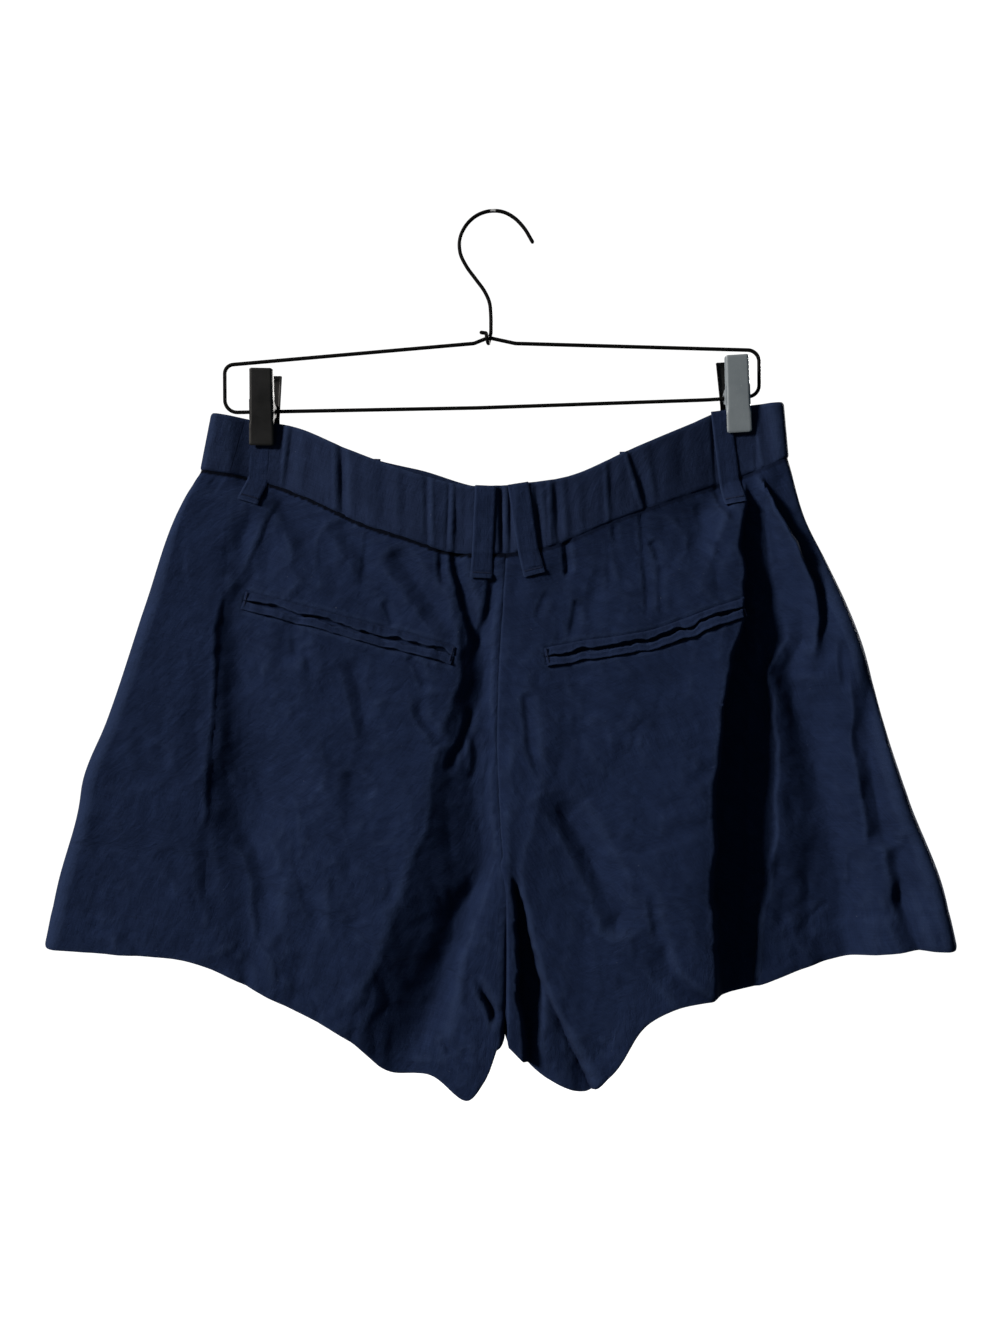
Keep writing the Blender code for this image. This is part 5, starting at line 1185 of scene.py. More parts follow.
def back_band_grid():
    left = np.linspace(band_seam_share("L"), 1.0, 180)
    right = np.linspace(band_seam_share("R"), 1.0, 180)
    spec = [("L", u) for u in left] + [("R", u) for u in right[::-1][1:]]
    grid = []
    for side in ("L", "R"):
        us = np.array([u for s, u in spec if s == side])
        block = band_point(side, "back", us[:, None], V_ROWS[None, :])
        grid.append(block)
    return np.concatenate(grid)


def end_normals(normal):
    """Normals kept level along the band's two long edges."""
    normal[:, 0, 2] = 0.0
    normal[:, -1, 2] = 0.0
    return unit(normal)


# paler top fold and lower edge of the band: rubbed wear and painted highlight
def band_edge_wear_and_highlight(grid):
    v = lengths(grid)[1]
    high = v[:, -1:]
    return np.maximum(0.85 * np.exp(-(v / 1.4) ** 2), 0.25 * np.exp(-((high - v) / 1.2) ** 2))


def make_back_band():
    grid = back_band_grid()
    normal = end_normals(outward(grid, (180, 10), -1.0))
    grid[:, -1, 2] += GAP / 2
    grid[0, :, 0] -= 0.1
    grid[-1, :, 0] += 0.1
    made = cloth("waistband_back_cloth", grid, BAND, BAND_CLOTH, normal, band_edge_wear_and_highlight(grid), None,
                 (False, False, True, True))
    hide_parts("waistband_back")
    return made


def front_band_columns(side):
    half = Half(side)
    seam = band_seam_share(side)
    share = float(half.shares("front", np.array([0.0, 1.0]))[0][0])
    columns = [("back", u, 1.0) for u in np.linspace(seam, share, 9)]
    columns += [("back", share * (1 - math.cos(a)), math.sin(a)) for a in np.linspace(math.pi / 2, 0, 9)[1:]]
    columns += [("front", share * (1 - math.cos(a)), math.sin(a)) for a in np.linspace(0, math.pi / 2, 9)[1:]]
    columns += [("front", share + (1 - share) * f, 1.0) for f in np.linspace(0, 1, 130)[1:]]
    return columns


def make_front_band(side):
    columns = front_band_columns(side)
    grid = []
    for f, u, r in columns:
        row = band_point(side, f, np.full_like(V_ROWS, u), V_ROWS, r)
        if side == "R" and f == "front":
            row[:, 1] += (BAND + GAP) * smooth((CENTRE_X + 22 - row[:, 0]) / 18.0)
        grid.append(row)
    if side == "R":
        for shift in np.linspace(1.2, 27.0, 24):
            row = band_point("L", "front", np.full_like(V_ROWS, band_xi("L", CENTRE_X - shift)), V_ROWS)
            row[:, 1] += BAND + GAP
            grid.append(row)
    grid = np.array(grid)
    normal = end_normals(outward(grid, (-20, 10), 1.0))
    normal[0, :, 0] = 0.0
    normal[-1, :, 0] = 0.0
    normal = unit(normal)
    grid[:, -1, 2] += GAP
    word = WORD[side]
    made = cloth("waistband_front_%s_cloth" % word, grid, BAND, BAND_CLOTH, normal, band_edge_wear_and_highlight(grid), None,
                 (False, True, True, True))
    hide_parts("waistband_front_" + word)
    return made


# ---------------------------------------------------------------- belt loops
def strap(name, node, top, tail, twist, face, pressed):
    """A belt loop: a flat stitched strip over the band, its end tacked down below the seam."""
    side = "L" if top < CENTRE_X else "R"
    sign = -1.0 if face == "back" else 1.0
    reach = LOOP_ON_BAND + LOOP_TAIL
    across = np.linspace(-0.5, 0.5, 21)
    middle = []
    for w in np.linspace(0, 1, 30):
        x = top + (tail - top) * w * LOOP_ON_BAND / reach
        u = band_xi(side, x, w)
        middle.append(band_point(side, face, np.array([u]), np.array([w]))[0])
    middle = np.array(middle)
    end = middle[-1]
    drop = np.linspace(0.08, 1.0, 14) * LOOP_TAIL
    lean = (tail - top) / reach + twist
    extra = np.stack([end[0] + lean * drop, np.zeros_like(drop), end[2] - drop], -1)
    line = np.concatenate([middle, extra])
    run = run_of(line[:, (0, 2)])
    ahead = unit(np.gradient(line[:, (0, 2)], run, axis=0))
    right = np.stack([-ahead[:, 1], ahead[:, 0]], -1)
    right = right * np.sign(right[:, :1])
    wide = LOOP_WIDE * (1 + 0.05 * smooth((run - LOOP_ON_BAND) / LOOP_TAIL))
    px = line[:, None, 0] + right[:, None, 0] * across * wide[:, None]
    pz = line[:, None, 2] + right[:, None, 1] * across * wide[:, None]
    ground = np.zeros_like(px)
    seam_z = np.interp(px, SEAM_X, SEAM_Z) + (front_rise(px) if face == "front" else 0.0)
    top_x, top_z = whole_row(TOP_EDGE)
    top_here = np.interp(px, top_x, top_z) + (front_rise(px) if face == "front" else 0.0)
    share = np.clip((top_here - pz) / (top_here - seam_z), 0, 1)
    for s in ("L", "R"):
        pick = (px < CENTRE_X) if s == "L" else (px >= CENTRE_X)
        us = np.linspace(0, 1, 601)
        if not pick.any():
            continue
        for vv in range(px.shape[0]):
            mask = pick[vv]
            if not mask.any():
                continue
            v0 = float(share[vv].mean())
            row = band_point(s, face, us, np.full_like(us, v0))
            order = np.argsort(row[:, 0])
            on_band = np.abs(np.interp(px[vv][mask], row[order, 0], row[order, 1])) + BAND / 2
            on_panel = stand_out(face, px[vv][mask], pz[vv][mask]) + CLOTH / 2 + GAP / 2
            below = pz[vv][mask] < seam_z[vv][mask]
            ground[vv][mask] = np.where(below, on_panel, on_band)
    # the strip bridges the hollows under it
    high = ground.max(axis=1)
    smoothed = high.copy()
    for _ in range(3):
        padded = np.pad(smoothed, 3, mode="edge")
        smoothed = np.array([padded[i + 2:i + 5].max() if _ == 0 else padded[i + 1:i + 6].mean()
                             for i in range(len(smoothed))])
    high = np.maximum(smoothed, high)
    lie = ground + (high[:, None] - ground) * 0.55
    lie = np.maximum(lie, ground)
    camber = 0.10 * (1 - (2 * across) ** 2)
    raised = 0.12 * np.exp(-((np.abs(across) - 0.40) / 0.06) ** 2)
    y = lie + GAP / 2 + LOOP / 2 + camber[None, :] + raised[None, :]
    y = (y + 0.55 * np.exp(-((run - run[-1]) / 2.2) ** 2)[:, None]
         - 0.55 * np.exp(-((run - run[-1] + 3.6) / 0.9) ** 2)[:, None])
    y = y + 0.25 * noise(px / 6, pz / 9, 2)
    y = y - pressed * (1 - smooth((run - 37) / 8))[:, None]
    grid = np.stack([px, sign * y, pz], -1).transpose(1, 0, 2)
    normal = outward(grid, (10, 5), sign)
    u, v = lengths(grid)
    # paler loop edges and end: rubbed wear and painted highlight
    wear_and_painted_highlight = np.maximum(0.8 * np.exp(-(np.minimum(u, u[-1:] - u) / 0.8) ** 2),
                      0.8 * np.exp(-((v[:, -1:] - v) / 1.2) ** 2))
    wear_and_painted_highlight = np.maximum(wear_and_painted_highlight, 0.6 * np.exp(-(v / 1.2) ** 2))
    made = cloth(name, grid, LOOP, TRIM, normal, wear_and_painted_highlight)
    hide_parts(node)
    return grid, normal


# ---------------------------------------------------------------- stitches
def stitches(name, rows, radius):
    """Rows of sewn stitches. Each row is a list of (start, end, up) for a slightly arched thread."""
    verts, faces = [], []
    rings = [(0.0, 0.25, -0.3), (0.12, 0.85, 0.35), (0.5, 1.0, 0.75), (0.88, 0.85, 0.35), (1.0, 0.25, -0.3)]
    sides = 5
    for a, b, up in rows:
        ahead = unit(b - a)
        side = unit(np.cross(ahead, up))
        rise = np.cross(side, ahead)
        base = len(verts)
        for share, thick, lift in rings:
            c = a + (b - a) * share + rise * lift * radius
            for s in range(sides):
                w = 2 * math.pi * s / sides
                verts.append(c + (side * math.cos(w) + rise * math.sin(w)) * radius * thick)
        for r in range(len(rings) - 1):
            for s in range(sides):
                p, q = base + r * sides + s, base + r * sides + (s + 1) % sides
                faces.append((p, q, q + sides, p + sides))
        faces.append(tuple(base + s for s in reversed(range(sides))))
        faces.append(tuple(base + (len(rings) - 1) * sides + s for s in range(sides)))
    made = finish_mesh(name, verts, faces, THREAD)
    return made


def sewn(line, normal, pitch, length, lift):
    """Stitches along a line of points with outward normals."""
    run = np.concatenate([[0], np.cumsum(np.linalg.norm(np.diff(line, axis=0), axis=1))])
    out = []
    at = pitch * 0.5
    while at + length < run[-1]:
        p = np.array([np.interp(at, run, line[:, c]) for c in range(3)])
        q = np.array([np.interp(at + length, run, line[:, c]) for c in range(3)])
        up = unit(np.array([np.interp(at + length / 2, run, normal[:, c]) for c in range(3)]))
        out.append((p + up * lift, q + up * lift, up))
        at += pitch
    return out


def hem_line(strip, first, last, above):
    """The outer face of a leg at a distance above its hem."""
    line, up = [], []
    for c in range(first, last):
        d = strip["to_hem"][c]
        order = np.argsort(d)
        p = [np.interp(above, d[order], strip["grid"][c, order, a]) for a in range(3)]
        m = [np.interp(above, d[order], strip["normal"][c, order, a]) for a in range(3)]
        w = np.interp(above, d[order], strip["wall"][c, order])
        line.append(np.array(p) + np.array(m) * w / 2)
        up.append(m)
    return np.array(line), np.array(up)


def bar_tack(centre, along, up, wide, count, thick):
    """A dense row of short threads laid over each other."""
    along, up = unit(np.asarray(along, float)), unit(np.asarray(up, float))
    cross = np.cross(up, along)
    out = []
    for i in range(count):
        c = np.asarray(centre) + along * wide * ((i + 0.5) / count - 0.5)
        skew = along * (0.18 if i % 2 else -0.18)
        out.append((c - cross * thick / 2 - skew, c + cross * thick / 2 + skew, up))
    return out


# ---------------------------------------------------------------- welts
def lip(name, node, side, low):
    """One lip of a piped pocket: a folded strip, wavy, sunk at its outer edge and rolled in at the slit."""
    path = Line(WELTS[side]).at(np.linspace(0.002, 0.998, 190))
    run = run_of(path)
    ahead = unit(np.gradient(path, run, axis=0))
    down = np.stack([ahead[:, 1], -ahead[:, 0]], -1)
    down = down * -np.sign(down[:, 1:])
    length = run[-1]
    ends = smooth(run / 9.0) * smooth((length - run) / 9.0)
    layer = 1 if side == "L" else 2
    wave = noise(run / 9, run * 0 + 3.1, layer) + 0.5 * noise(run / 4.5, run * 0 + 1.1, layer + 4)
    slit = (0.62 + 0.75 * smooth(0.5 + 0.6 * wave)) * ends + 0.12
    sway = (1.2 * noise(run / 16, run * 0 + 1.7, layer + 2) + 1.6 * noise(run / 8, run * 0 + 5.2, layer + 6)
            + 0.5 * noise(run / 3.5, run * 0 + 7.2, layer + 3)) * ends
    proud = 0.6 + 0.7 * smooth(0.5 + 0.7 * noise(run / 12, run * 0 + 4.4, layer + 1))
    rows = [(0.0, -1.3), (0.04, -0.7), (0.11, 0.15), (0.24, 0.55), (0.45, 0.65), (0.66, 0.75), (0.82, 1.05),
            (0.93, 0.95), (0.99, 0.2), (1.0, -0.8), (0.96, -2.2), (0.5, -2.4), (0.05, -2.0)]
    if low:
        rows = [(0.0, -1.3), (0.015, -0.2), (0.05, 1.9), (0.14, 2.6), (0.32, 1.1), (0.52, 0.7), (0.76, 0.75),
                (0.93, 0.62), (0.99, 0.05), (1.0, -0.8), (0.96, -2.2), (0.5, -2.4), (0.05, -2.0)]
    out = []
    for share, lift in rows:
        wide = WELT_HALF + 0.15 - slit
        place = (WELT_HALF + 0.15) - share * wide
        place = (place if low else -place) + sway * (share if not low else 0.45 + 0.55 * share)
        x = path[:, 0] + down[:, 0] * place
        z = path[:, 1] + down[:, 1] * place
        shape = math.sin(math.pi * share) if lift > -1 else 0.0
        lift = lift * proud if low and 0.02 < share < 0.2 else lift
        puff = (0.42 * noise(run / 7, run * 0 + 0.4, 5 + low)
                + 0.30 * noise(run / 3.2, run * 0 + 2.4, 7 + low)) * shape
        y = stand_out("back", x, z, False) + CLOTH / 2 + lift + puff + 0.25 * ends * (share > 0.02)
        out.append(np.stack([x, -y, z], -1))
    ring = np.array(out).transpose(1, 0, 2)
    n, m = ring.shape[:2]
    verts = ring.reshape(-1, 3)
    faces = [(i * m + s, i * m + (s + 1) % m, (i + 1) * m + (s + 1) % m, (i + 1) * m + s)
             for i in range(n - 1) for s in range(m)]
    a = np.concatenate([verts, [ring[0].mean(axis=0), ring[-1].mean(axis=0)]])
    for s in range(m):
        faces.append((n * m, (s + 1) % m, s, s))
        faces.append((n * m + 1, (n - 1) * m + s, (n - 1) * m + (s + 1) % m, (n - 1) * m + (s + 1) % m))
    tidy = [tuple(dict.fromkeys(f)) for f in faces]
    if volume(a, [f if len(f) == 4 else (*f, f[-1]) for f in tidy]) < 0:
        tidy = [f[::-1] for f in tidy]
    made = finish_mesh(name, a, tidy, TRIM)
    u = np.repeat(run, m)
    v = np.tile(np.array([0, 0.5, 1.0, 1.8, 3.0, 4.2, 5.1, 5.7, 6.1, 6.8, 8.0, 11.0, 14.0]), n)
    flat = np.stack([u, v, 0 * u], -1)
    flat = np.concatenate([flat, flat[:1], flat[-1:]])
    attribute(made, "cloth", flat)
    # paler lip edges: painted highlight along the rolled edges, with rubbed wear
    keen = [0, 0, 0.1, 0, 0, 0.05, 0.4, 0.9, 0.5, 0, 0, 0, 0]
    if low:
        keen = [0, 0.1, 0.8, 0.35, 0.05, 0, 0.1, 0.4, 0.2, 0, 0, 0, 0]
    keen = np.tile(np.array(keen, float), n)
    attribute(made, "wear_and_painted_highlight", np.concatenate([keen, [0, 0]]))
    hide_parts(node)
    ends_at = []
    for i in (2, -3):
        y = float(stand_out("back", path[i:i + 1, 0], path[i:i + 1, 1], False)[0])
        ends_at.append((np.array([path[i, 0], -y - CLOTH / 2 - 0.9, path[i, 1]]),
                        np.array([down[i][0], 0, down[i][1]])))
    return ends_at


# ---------------------------------------------------------------- fly, button
def make_fly():
    strip = STRIPS["R"]
    columns, rows = 46, 74
    block = strip["grid"][:columns, :rows]
    normal = strip["normal"][:columns, :rows]
    u = np.linspace(0, 1, 30)
    v = np.linspace(0, 1, 66)
    grid = np.zeros((30, 66, 3))
    up = np.zeros((30, 66, 3))
    for i, a in enumerate(u):
        for j, b in enumerate(v):
            # the free edge curves in to the centre seam at the foot
            width = math.sqrt(max(1 - max((b - 0.72) / 0.28, 0.0) ** 2.2, 0.0))
            c = 1.0 + a * (columns - 3) * max(width, 0.06)
            r = 1.0 + b * (rows - 3)
            ci, ri = int(c), int(r)
            fc, fr = c - ci, r - ri
            for out, src in ((grid, block), (up, normal)):
                out[i, j] = ((src[ci, ri] * (1 - fc) + src[ci + 1, ri] * fc) * (1 - fr)
                             + (src[ci, ri + 1] * (1 - fc) + src[ci + 1, ri + 1] * fc) * fr)
    up = unit(up)
    grid = grid + up * (CLOTH / 2 + GAP + 0.45)
    across = lengths(grid)[0]
    # paler free edge: rubbed wear and painted highlight
    wear_and_painted_highlight = 0.6 * np.exp(-((across[-1:] - across) / 0.9) ** 2)
    made = cloth("fly_facing_cloth", grid, 0.9, FRONT, up, wear_and_painted_highlight)
    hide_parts("fly_facing")
    edge = grid[-4] + up[-4] * 0.5
    return sewn(edge, up[-4], 3.0, 2.2, 0.1)


def make_button():
    x = CENTRE_X - 11.0
    p = band_point("L", "front", np.array([band_xi("L", x)]), np.array([0.5]))[0]
    y0 = p[1] + (BAND + GAP) + BAND / 2 + GAP + 0.25
    n = 56
    rings = [(0.0, 0.0), (5.6, 0.0), (7.0, 0.25), (7.5, 1.0), (7.35, 1.8), (6.8, 2.3), (6.0, 2.35),
             (5.4, 1.95), (4.9, 1.7), (2.5, 1.62), (0.0, 1.6)]
    verts, faces = [(p[0], y0, p[2])], []
    for r, dy in rings[1:-1]:
        verts += [(p[0] + r * math.cos(2 * math.pi * i / n), y0 + dy,
                   p[2] + r * math.sin(2 * math.pi * i / n)) for i in range(n)]
    verts.append((p[0], y0 + rings[-1][1], p[2]))
    last = len(verts) - 1
    m = len(rings) - 2
    for i in range(n):
        j = (i + 1) % n
        faces.append((0, 1 + j, 1 + i))
        for k in range(m - 1):
            faces.append((1 + k * n + i, 1 + k * n + j, 1 + (k + 1) * n + j, 1 + (k + 1) * n + i))
        faces.append((last, 1 + (m - 1) * n + i, 1 + (m - 1) * n + j))
    made = finish_mesh("waist_button_turned", verts, faces, HORN, sharp=50)
    holes = [(dx, dz) for dx in (-1.5, 1.5) for dz in (-1.5, 1.5)]
    for dx, dz in holes:
        tool_v = []
        for yy in (y0 - 1, y0 + 4):
            tool_v += [(p[0] + dx + 0.85 * math.cos(a), yy, p[2] + dz + 0.85 * math.sin(a))
                       for a in [2 * math.pi * i / 16 for i in range(16)]]
        tool_f = [(i, (i + 1) % 16, 16 + (i + 1) % 16, 16 + i) for i in range(16)]
        tool_f += [tuple(range(15, -1, -1)), tuple(range(16, 32))]
        mesh = bpy.data.meshes.new("drill")
        mesh.from_pydata((np.array(tool_v) * MM).tolist(), [], tool_f)
        drill = bpy.data.objects.new("drill", mesh)
        bpy.context.scene.collection.objects.link(drill)
        mod = made.modifiers.new("drill", "BOOLEAN")
        mod.operation = "DIFFERENCE"
        mod.solver = "EXACT"
        mod.object = drill
        bpy.context.view_layer.update()
        done = bpy.data.meshes.new_from_object(made.evaluated_get(bpy.context.evaluated_depsgraph_get()))
        made.modifiers.clear()
        made.data = done
        bpy.data.objects.remove(drill, do_unlink=True)
    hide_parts("waist_button")
    up = np.array([0.0, 1.0, 0.0])
    rows = []
    for dz in (-1.5, 1.5):
        for k in (-0.3, 0.0, 0.3):
            c = np.array([p[0], y0 + 1.75, p[2] + dz + k])
            rows.append((c - np.array([1.5, 0, 0]), c + np.array([1.5, 0, 0]), up))
    return rows


# ---------------------------------------------------------------- hanger
def rounded(points, radii, closed, steps=10):
    out = []
    n = len(points)
    for i in range(n):
        if not closed and i in (0, n - 1):
            out.append(np.array(points[i], float))
            continue
        p = np.array(points[i], float)
        a = unit(np.array(points[i - 1], float) - p)
        b = unit(np.array(points[(i + 1) % n], float) - p)
        half = math.acos(max(-1, min(1, float(a @ b)))) / 2
        run = radii[i] / math.tan(half)
        centre = p + unit(a + b) * radii[i] / math.sin(half)
        start = p + a * run - centre
        end = p + b * run - centre
        turn = math.atan2(start[0] * end[1] - start[1] * end[0], float(start @ end))
        for s in range(steps + 1):
            w = turn * s / steps
            out.append(centre + np.array([start[0] * math.cos(w) - start[1] * math.sin(w),
                                          start[0] * math.sin(w) + start[1] * math.cos(w)]))
    return out


def tube(name, path, radius, mat, closed=False, sides=20):
    p = np.array(path, float)
    n = len(p)
    ahead = np.roll(p, -1, axis=0) - np.roll(p, 1, axis=0) if closed else np.gradient(p, axis=0)
    ahead = unit(ahead)
    side = unit(np.cross(ahead[0], [0.0, 1.0, 0.0]) if abs(ahead[0][1]) < 0.9 else np.array([1.0, 0, 0]))
    frames = []
    for i in range(n):
        side = unit(side - ahead[i] * (side @ ahead[i]))
        frames.append((side, np.cross(ahead[i], side)))
    rings = []
    caps = [(1.0, 0.0), (0.8, 0.6), (0.4, 0.917)]
    if not closed:
        rings += [(p[0] - ahead[0] * radius * a, frames[0], b) for a, b in caps[1:]]
    rings += [(p[i], frames[i], 1.0) for i in range(n)]
    if not closed:
        rings += [(p[-1] + ahead[-1] * radius * a, frames[-1], b) for a, b in reversed(caps[1:])]
    w = 2 * np.pi * np.arange(sides) / sides
    verts = np.concatenate([c + (np.outer(np.cos(w), u) + np.outer(np.sin(w), v)) * radius * share
                            for c, (u, v), share in rings])
    m = len(rings)
    faces = []
    for i in range(m if closed else m - 1):
        for s in range(sides):
            a, b = i * sides + s, i * sides + (s + 1) % sides
            c, d = ((i + 1) % m) * sides + s, ((i + 1) % m) * sides + (s + 1) % sides
            faces.append((a, b, d, c))
    if not closed:
        verts = np.concatenate([verts, [p[0] - ahead[0] * radius, p[-1] + ahead[-1] * radius]])
        first, last = len(verts) - 2, len(verts) - 1
        for s in range(sides):
            faces.append((first, (s + 1) % sides, s))
            faces.append((last, (m - 1) * sides + s, (m - 1) * sides + (s + 1) % sides))
    if volume(verts, [f if len(f) == 4 else (*f, f[-1]) for f in faces]) < 0:
        faces = [f[::-1] for f in faces]
    return finish_mesh(name, verts, faces, mat)


FRAME_CORNERS = [(-5.6, -81.2), (-15.0, -85.0), (-177.2, -99.2), (-177.0, -130.0), (-12.0, -126.9),
                 (140.0, -121.6), (170.6, -119.0), (170.5, -89.5), (12.0, -85.0)]
FRAME_RADII = [5, 7, 6, 8, 400, 300, 7.5, 7.5, 9]
HOOK_PATH = [(23.1, -18.9), (17.2, -9.3), (10.9, -3.0), (3.6, 0.7), (-1.6, 1.35), (-7.2, 0.7), (-12.6, -1.4),
             (-19.9, -7.8), (-24.2, -17.4), (-23.9, -26.2), (-19.9, -34.8), (-13.8, -43.2), (-7.8, -51.6),
             (-5.0, -58.0), (-4.0, -67.0), (-3.9, -74.2)]


def rod_z(x):
    rows = FRAME_CORNERS[3:7]
    return float(np.interp(x, [r[0] for r in rows], [r[1] for r in rows]))


def make_hanger():
    loop = rounded(FRAME_CORNERS, FRAME_RADII, True)
    wire = tube("hanger_frame_wire", [(q[0], 0.0, q[1]) for q in loop], WIRE, BLACK_WIRE, closed=True)
    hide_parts("hanger_frame")
    path = [(float(a), 0.0, float(b)) for a, b in Line(HOOK_PATH).at(np.linspace(0, 1, 90))]
    eye = WIRE * 2 + 0.9
    mid = -81.5
    path.append((-3.9, 0.0, mid + eye + 2.2))
    for i in range(1, 34):
        w = math.radians(90 - 9.9 * i)
        path.append((-3.9 - 0.10 * i, eye * math.cos(w), mid + eye * math.sin(w)))
    end = path[-1]
    path += [(end[0] - 1.0 * i, end[1], end[2] + 0.12 * i) for i in range(1, 4)]
    hook = tube("hanger_hook_wire", path, WIRE, BLACK_WIRE)
    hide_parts("hanger_hook")


PLATE = 1.0
CLIP_WIDE = 15.6
CLIP_FLARE = 0.4            # how much wider a near plate is at its foot
FAR_WIDE = 15.0
FAR_ASIDE = 0.8             # the far plates' shift towards the middle and up
FAR_RISE = 1.8
CLIP_TALL = 48.5
LEVER = 24.6                # the part of a plate above the rod
PLATE_CORNER = 1.2
PLATE_LEAN = 12.0           # how far a lever's top stands from the rod
PAD_OUT = {-1: 4.9, 1: 3.2}  # how far a pad stands from the rod, near and far


def plate_mesh(facing, wide, shift, ribs):
    """A pressed plate with rounded corners, edges turned in beside the lever, and ribs for the thumb."""
    top, low = LEVER, -CLIP_TALL + LEVER
    pad, corner = PAD_OUT[facing], PLATE_CORNER
    rows = np.concatenate([np.linspace(low, low + 4, 9)[:-1], np.linspace(low + 4, top - 4, 40)[:-1],
                           np.linspace(top - 4, top, 9)])
    outer_z = [low, low + 9.2, top]
    mid_y = [pad + 0.5, pad + 0.5 + 1.2, PLATE_LEAN + 0.5]
    shares = np.linspace(-1, 1, 25)
    grid = []
    for z in rows:
        inset = 0.0
        for end in (low, top):
            d = abs(z - end)
            if d < corner:
                inset = corner - math.sqrt(max(corner ** 2 - (corner - d) ** 2, 0.0))
        half = wide / 2 - inset + CLIP_FLARE * (0.5 - (z - low) / (top - low)) * (facing < 0)
        y = float(np.interp(z, outer_z, mid_y))
        row = []
        for s in shares:
            flange = max(abs(s) - 0.86, 0.0) / 0.14
            turned = smooth(np.array((z - low - 12.0) / 6.0)) * smooth(np.array((top - z) / 1.5))
            x = s * half
            back = flange ** 1.6 * 2.3 * float(turned) + flange ** 2 * 0.25
            rib = 0.0
            if ribs and z > top - 15.5 and abs(s) < 0.8:
                rib = (0.28 * max(0.0, math.sin((top - z) * 2 * math.pi / 2.4))
                       * float(smooth(np.array((0.8 - abs(s)) * 12))))
            row.append((x + shift, facing * (y - back + rib), z))
        grid.append(row)
    grid = np.array(grid).transpose(1, 0, 2)
    normal = outward(grid, (12, 20), facing)
    verts, faces = closed_shell(grid, normal, PLATE, (0.45, 0.85))
    return verts, [tuple(int(c) for c in f) for f in faces]


def ear_mesh(facing, x0):
    """A rounded ear with the rod's hole through it, standing in from the plate."""
    pad, low = PAD_OUT[facing], -CLIP_TALL + LEVER
    span = LEVER - low - 9.4
    n = 40
    out, hole = [], []
    for i in range(n):
        a = 2 * math.pi * i / n
        c, s = math.cos(a), math.sin(a)
        if c * -facing >= 0:
            out.append((3.6 * c, 3.6 * s))
        else:
            z = max(-6.2, min(6.2, 6.2 * s * 1.25))
            z_mid = pad + 1.4 + (PLATE_LEAN - pad - 1.2) * (z - low - 9.4) / span
            out.append((facing * z_mid, z))
        hole.append((2.0 * c, 2.0 * s))
    verts, faces = [], []
    for x in (x0 - 0.5, x0 + 0.5):
        verts += [(x, y, z) for y, z in out] + [(x, y, z) for y, z in hole]
    for i in range(n):
        j = (i + 1) % n
        faces.append((i, j, n + j, n + i))
        faces.append((2 * n + j, 2 * n + i, 3 * n + i, 3 * n + j))
        faces.append((j, i, 2 * n + i, 2 * n + j))
        faces.append((n + i, n + j, 3 * n + j, 3 * n + i))
    return verts, faces


def make_clips():
    # the right near plate takes the grey coat, a painted reflection; the other plates are black
    for side, x, mat, tilt, inward, lift in (("left", CLIP_X[0], CLIP_DARK, 1.0, 1, 1.1),
                                             ("right", CLIP_X[1], CLIP_PAINTED_REFLECTION, -3.6, -1, 0.4)):
        turn = Matrix.Rotation(math.radians(tilt), 3, "Y")
        place = np.array([x, 0.0, rod_z(x)])

        def moved(verts):
            return [np.array(turn @ Vector(v)) + place for v in verts]

        for word, facing, wide, shift, ear in (
                ("near", -1, CLIP_WIDE, 0.0, CLIP_WIDE / 2 - PLATE / 2),
                ("far", 1, FAR_WIDE, (FAR_SHIFT + FAR_ASIDE) * inward, CLIP_WIDE / 2 - 3 * PLATE)):
            coat = CLIP_DARK if word == "far" else mat
            verts, faces = plate_mesh(facing, wide, shift, ribs=word == "far")
            rise = lift if word == "near" else FAR_RISE
            verts = [(v[0], v[1], v[2] + rise) for v in verts]
            for k in (-1, 1):
                ev, ef = ear_mesh(facing, k * ear + shift)
                base = len(verts)
                verts = list(verts) + ev
                faces += [tuple(base + c for c in f) for f in ef]
            piece = finish_mesh("clip_%s_%s" % (side, word), moved(verts), faces, coat, sharp=45)
            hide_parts("clip_%s_plate_%s" % (side, word))
        path = []
        for i in range(4 * 24 + 1):
            w = 2 * math.pi * i / 24
            path.append((inward * FAR_SHIFT - 2.6 + 5.2 * i / 96, 2.5 * math.cos(w), 2.5 * math.sin(w)))
        coil = tube("clip_%s_coil" % side, moved(path), 0.5, STEEL, sides=10)
        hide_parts("clip_%s_spring" % side)


# ---------------------------------------------------------------- put together
panels = {leg: make_leg(leg) for leg in WORD}
band = make_back_band()
front_bands = {leg: make_front_band(leg) for leg in WORD}
tacks = []
for loop_name, loop_node, loop_top, loop_tail, loop_twist in BACK_LOOPS + FRONT_LOOPS:
    g, m = strap(loop_name, loop_node, loop_top, loop_tail, loop_twist,
                 "front" if "front" in loop_name else "back", 1.5 if loop_name == "loop_outer_left" else 0.0)
    row = -4
    c = g[10, row] + m[10, row] * (LOOP / 2 + 0.1)
    tacks += bar_tack(c, g[18, row] - g[2, row], m[10, row], LOOP_WIDE * 0.86, 26, 1.3)
for leg, word in WORD.items():
    for low, part in ((False, "upper"), (True, "lower")):
        ends = lip("welt_%s_%s_piping" % (word, part), "welt_%s_%s" % (word, part), leg, low)
        if not low:
            for centre, down in ends:
                tacks += bar_tack(centre, down, (0, -1, 0), 11.4, 20, 1.1)
fly_rows = make_fly()
button_rows = make_button()
hem_rows = []
for strip in STRIPS.values():
    line, up = hem_line(strip, 6, strip["grid"].shape[0] - 6, HEM_DEEP)
    hem_rows += sewn(line, up, 3.3, 2.0, -0.17)
hem_thread = stitches("hem_stitches", hem_rows, 0.16)
tack_thread = stitches("bar_tacks", tacks, 0.26)
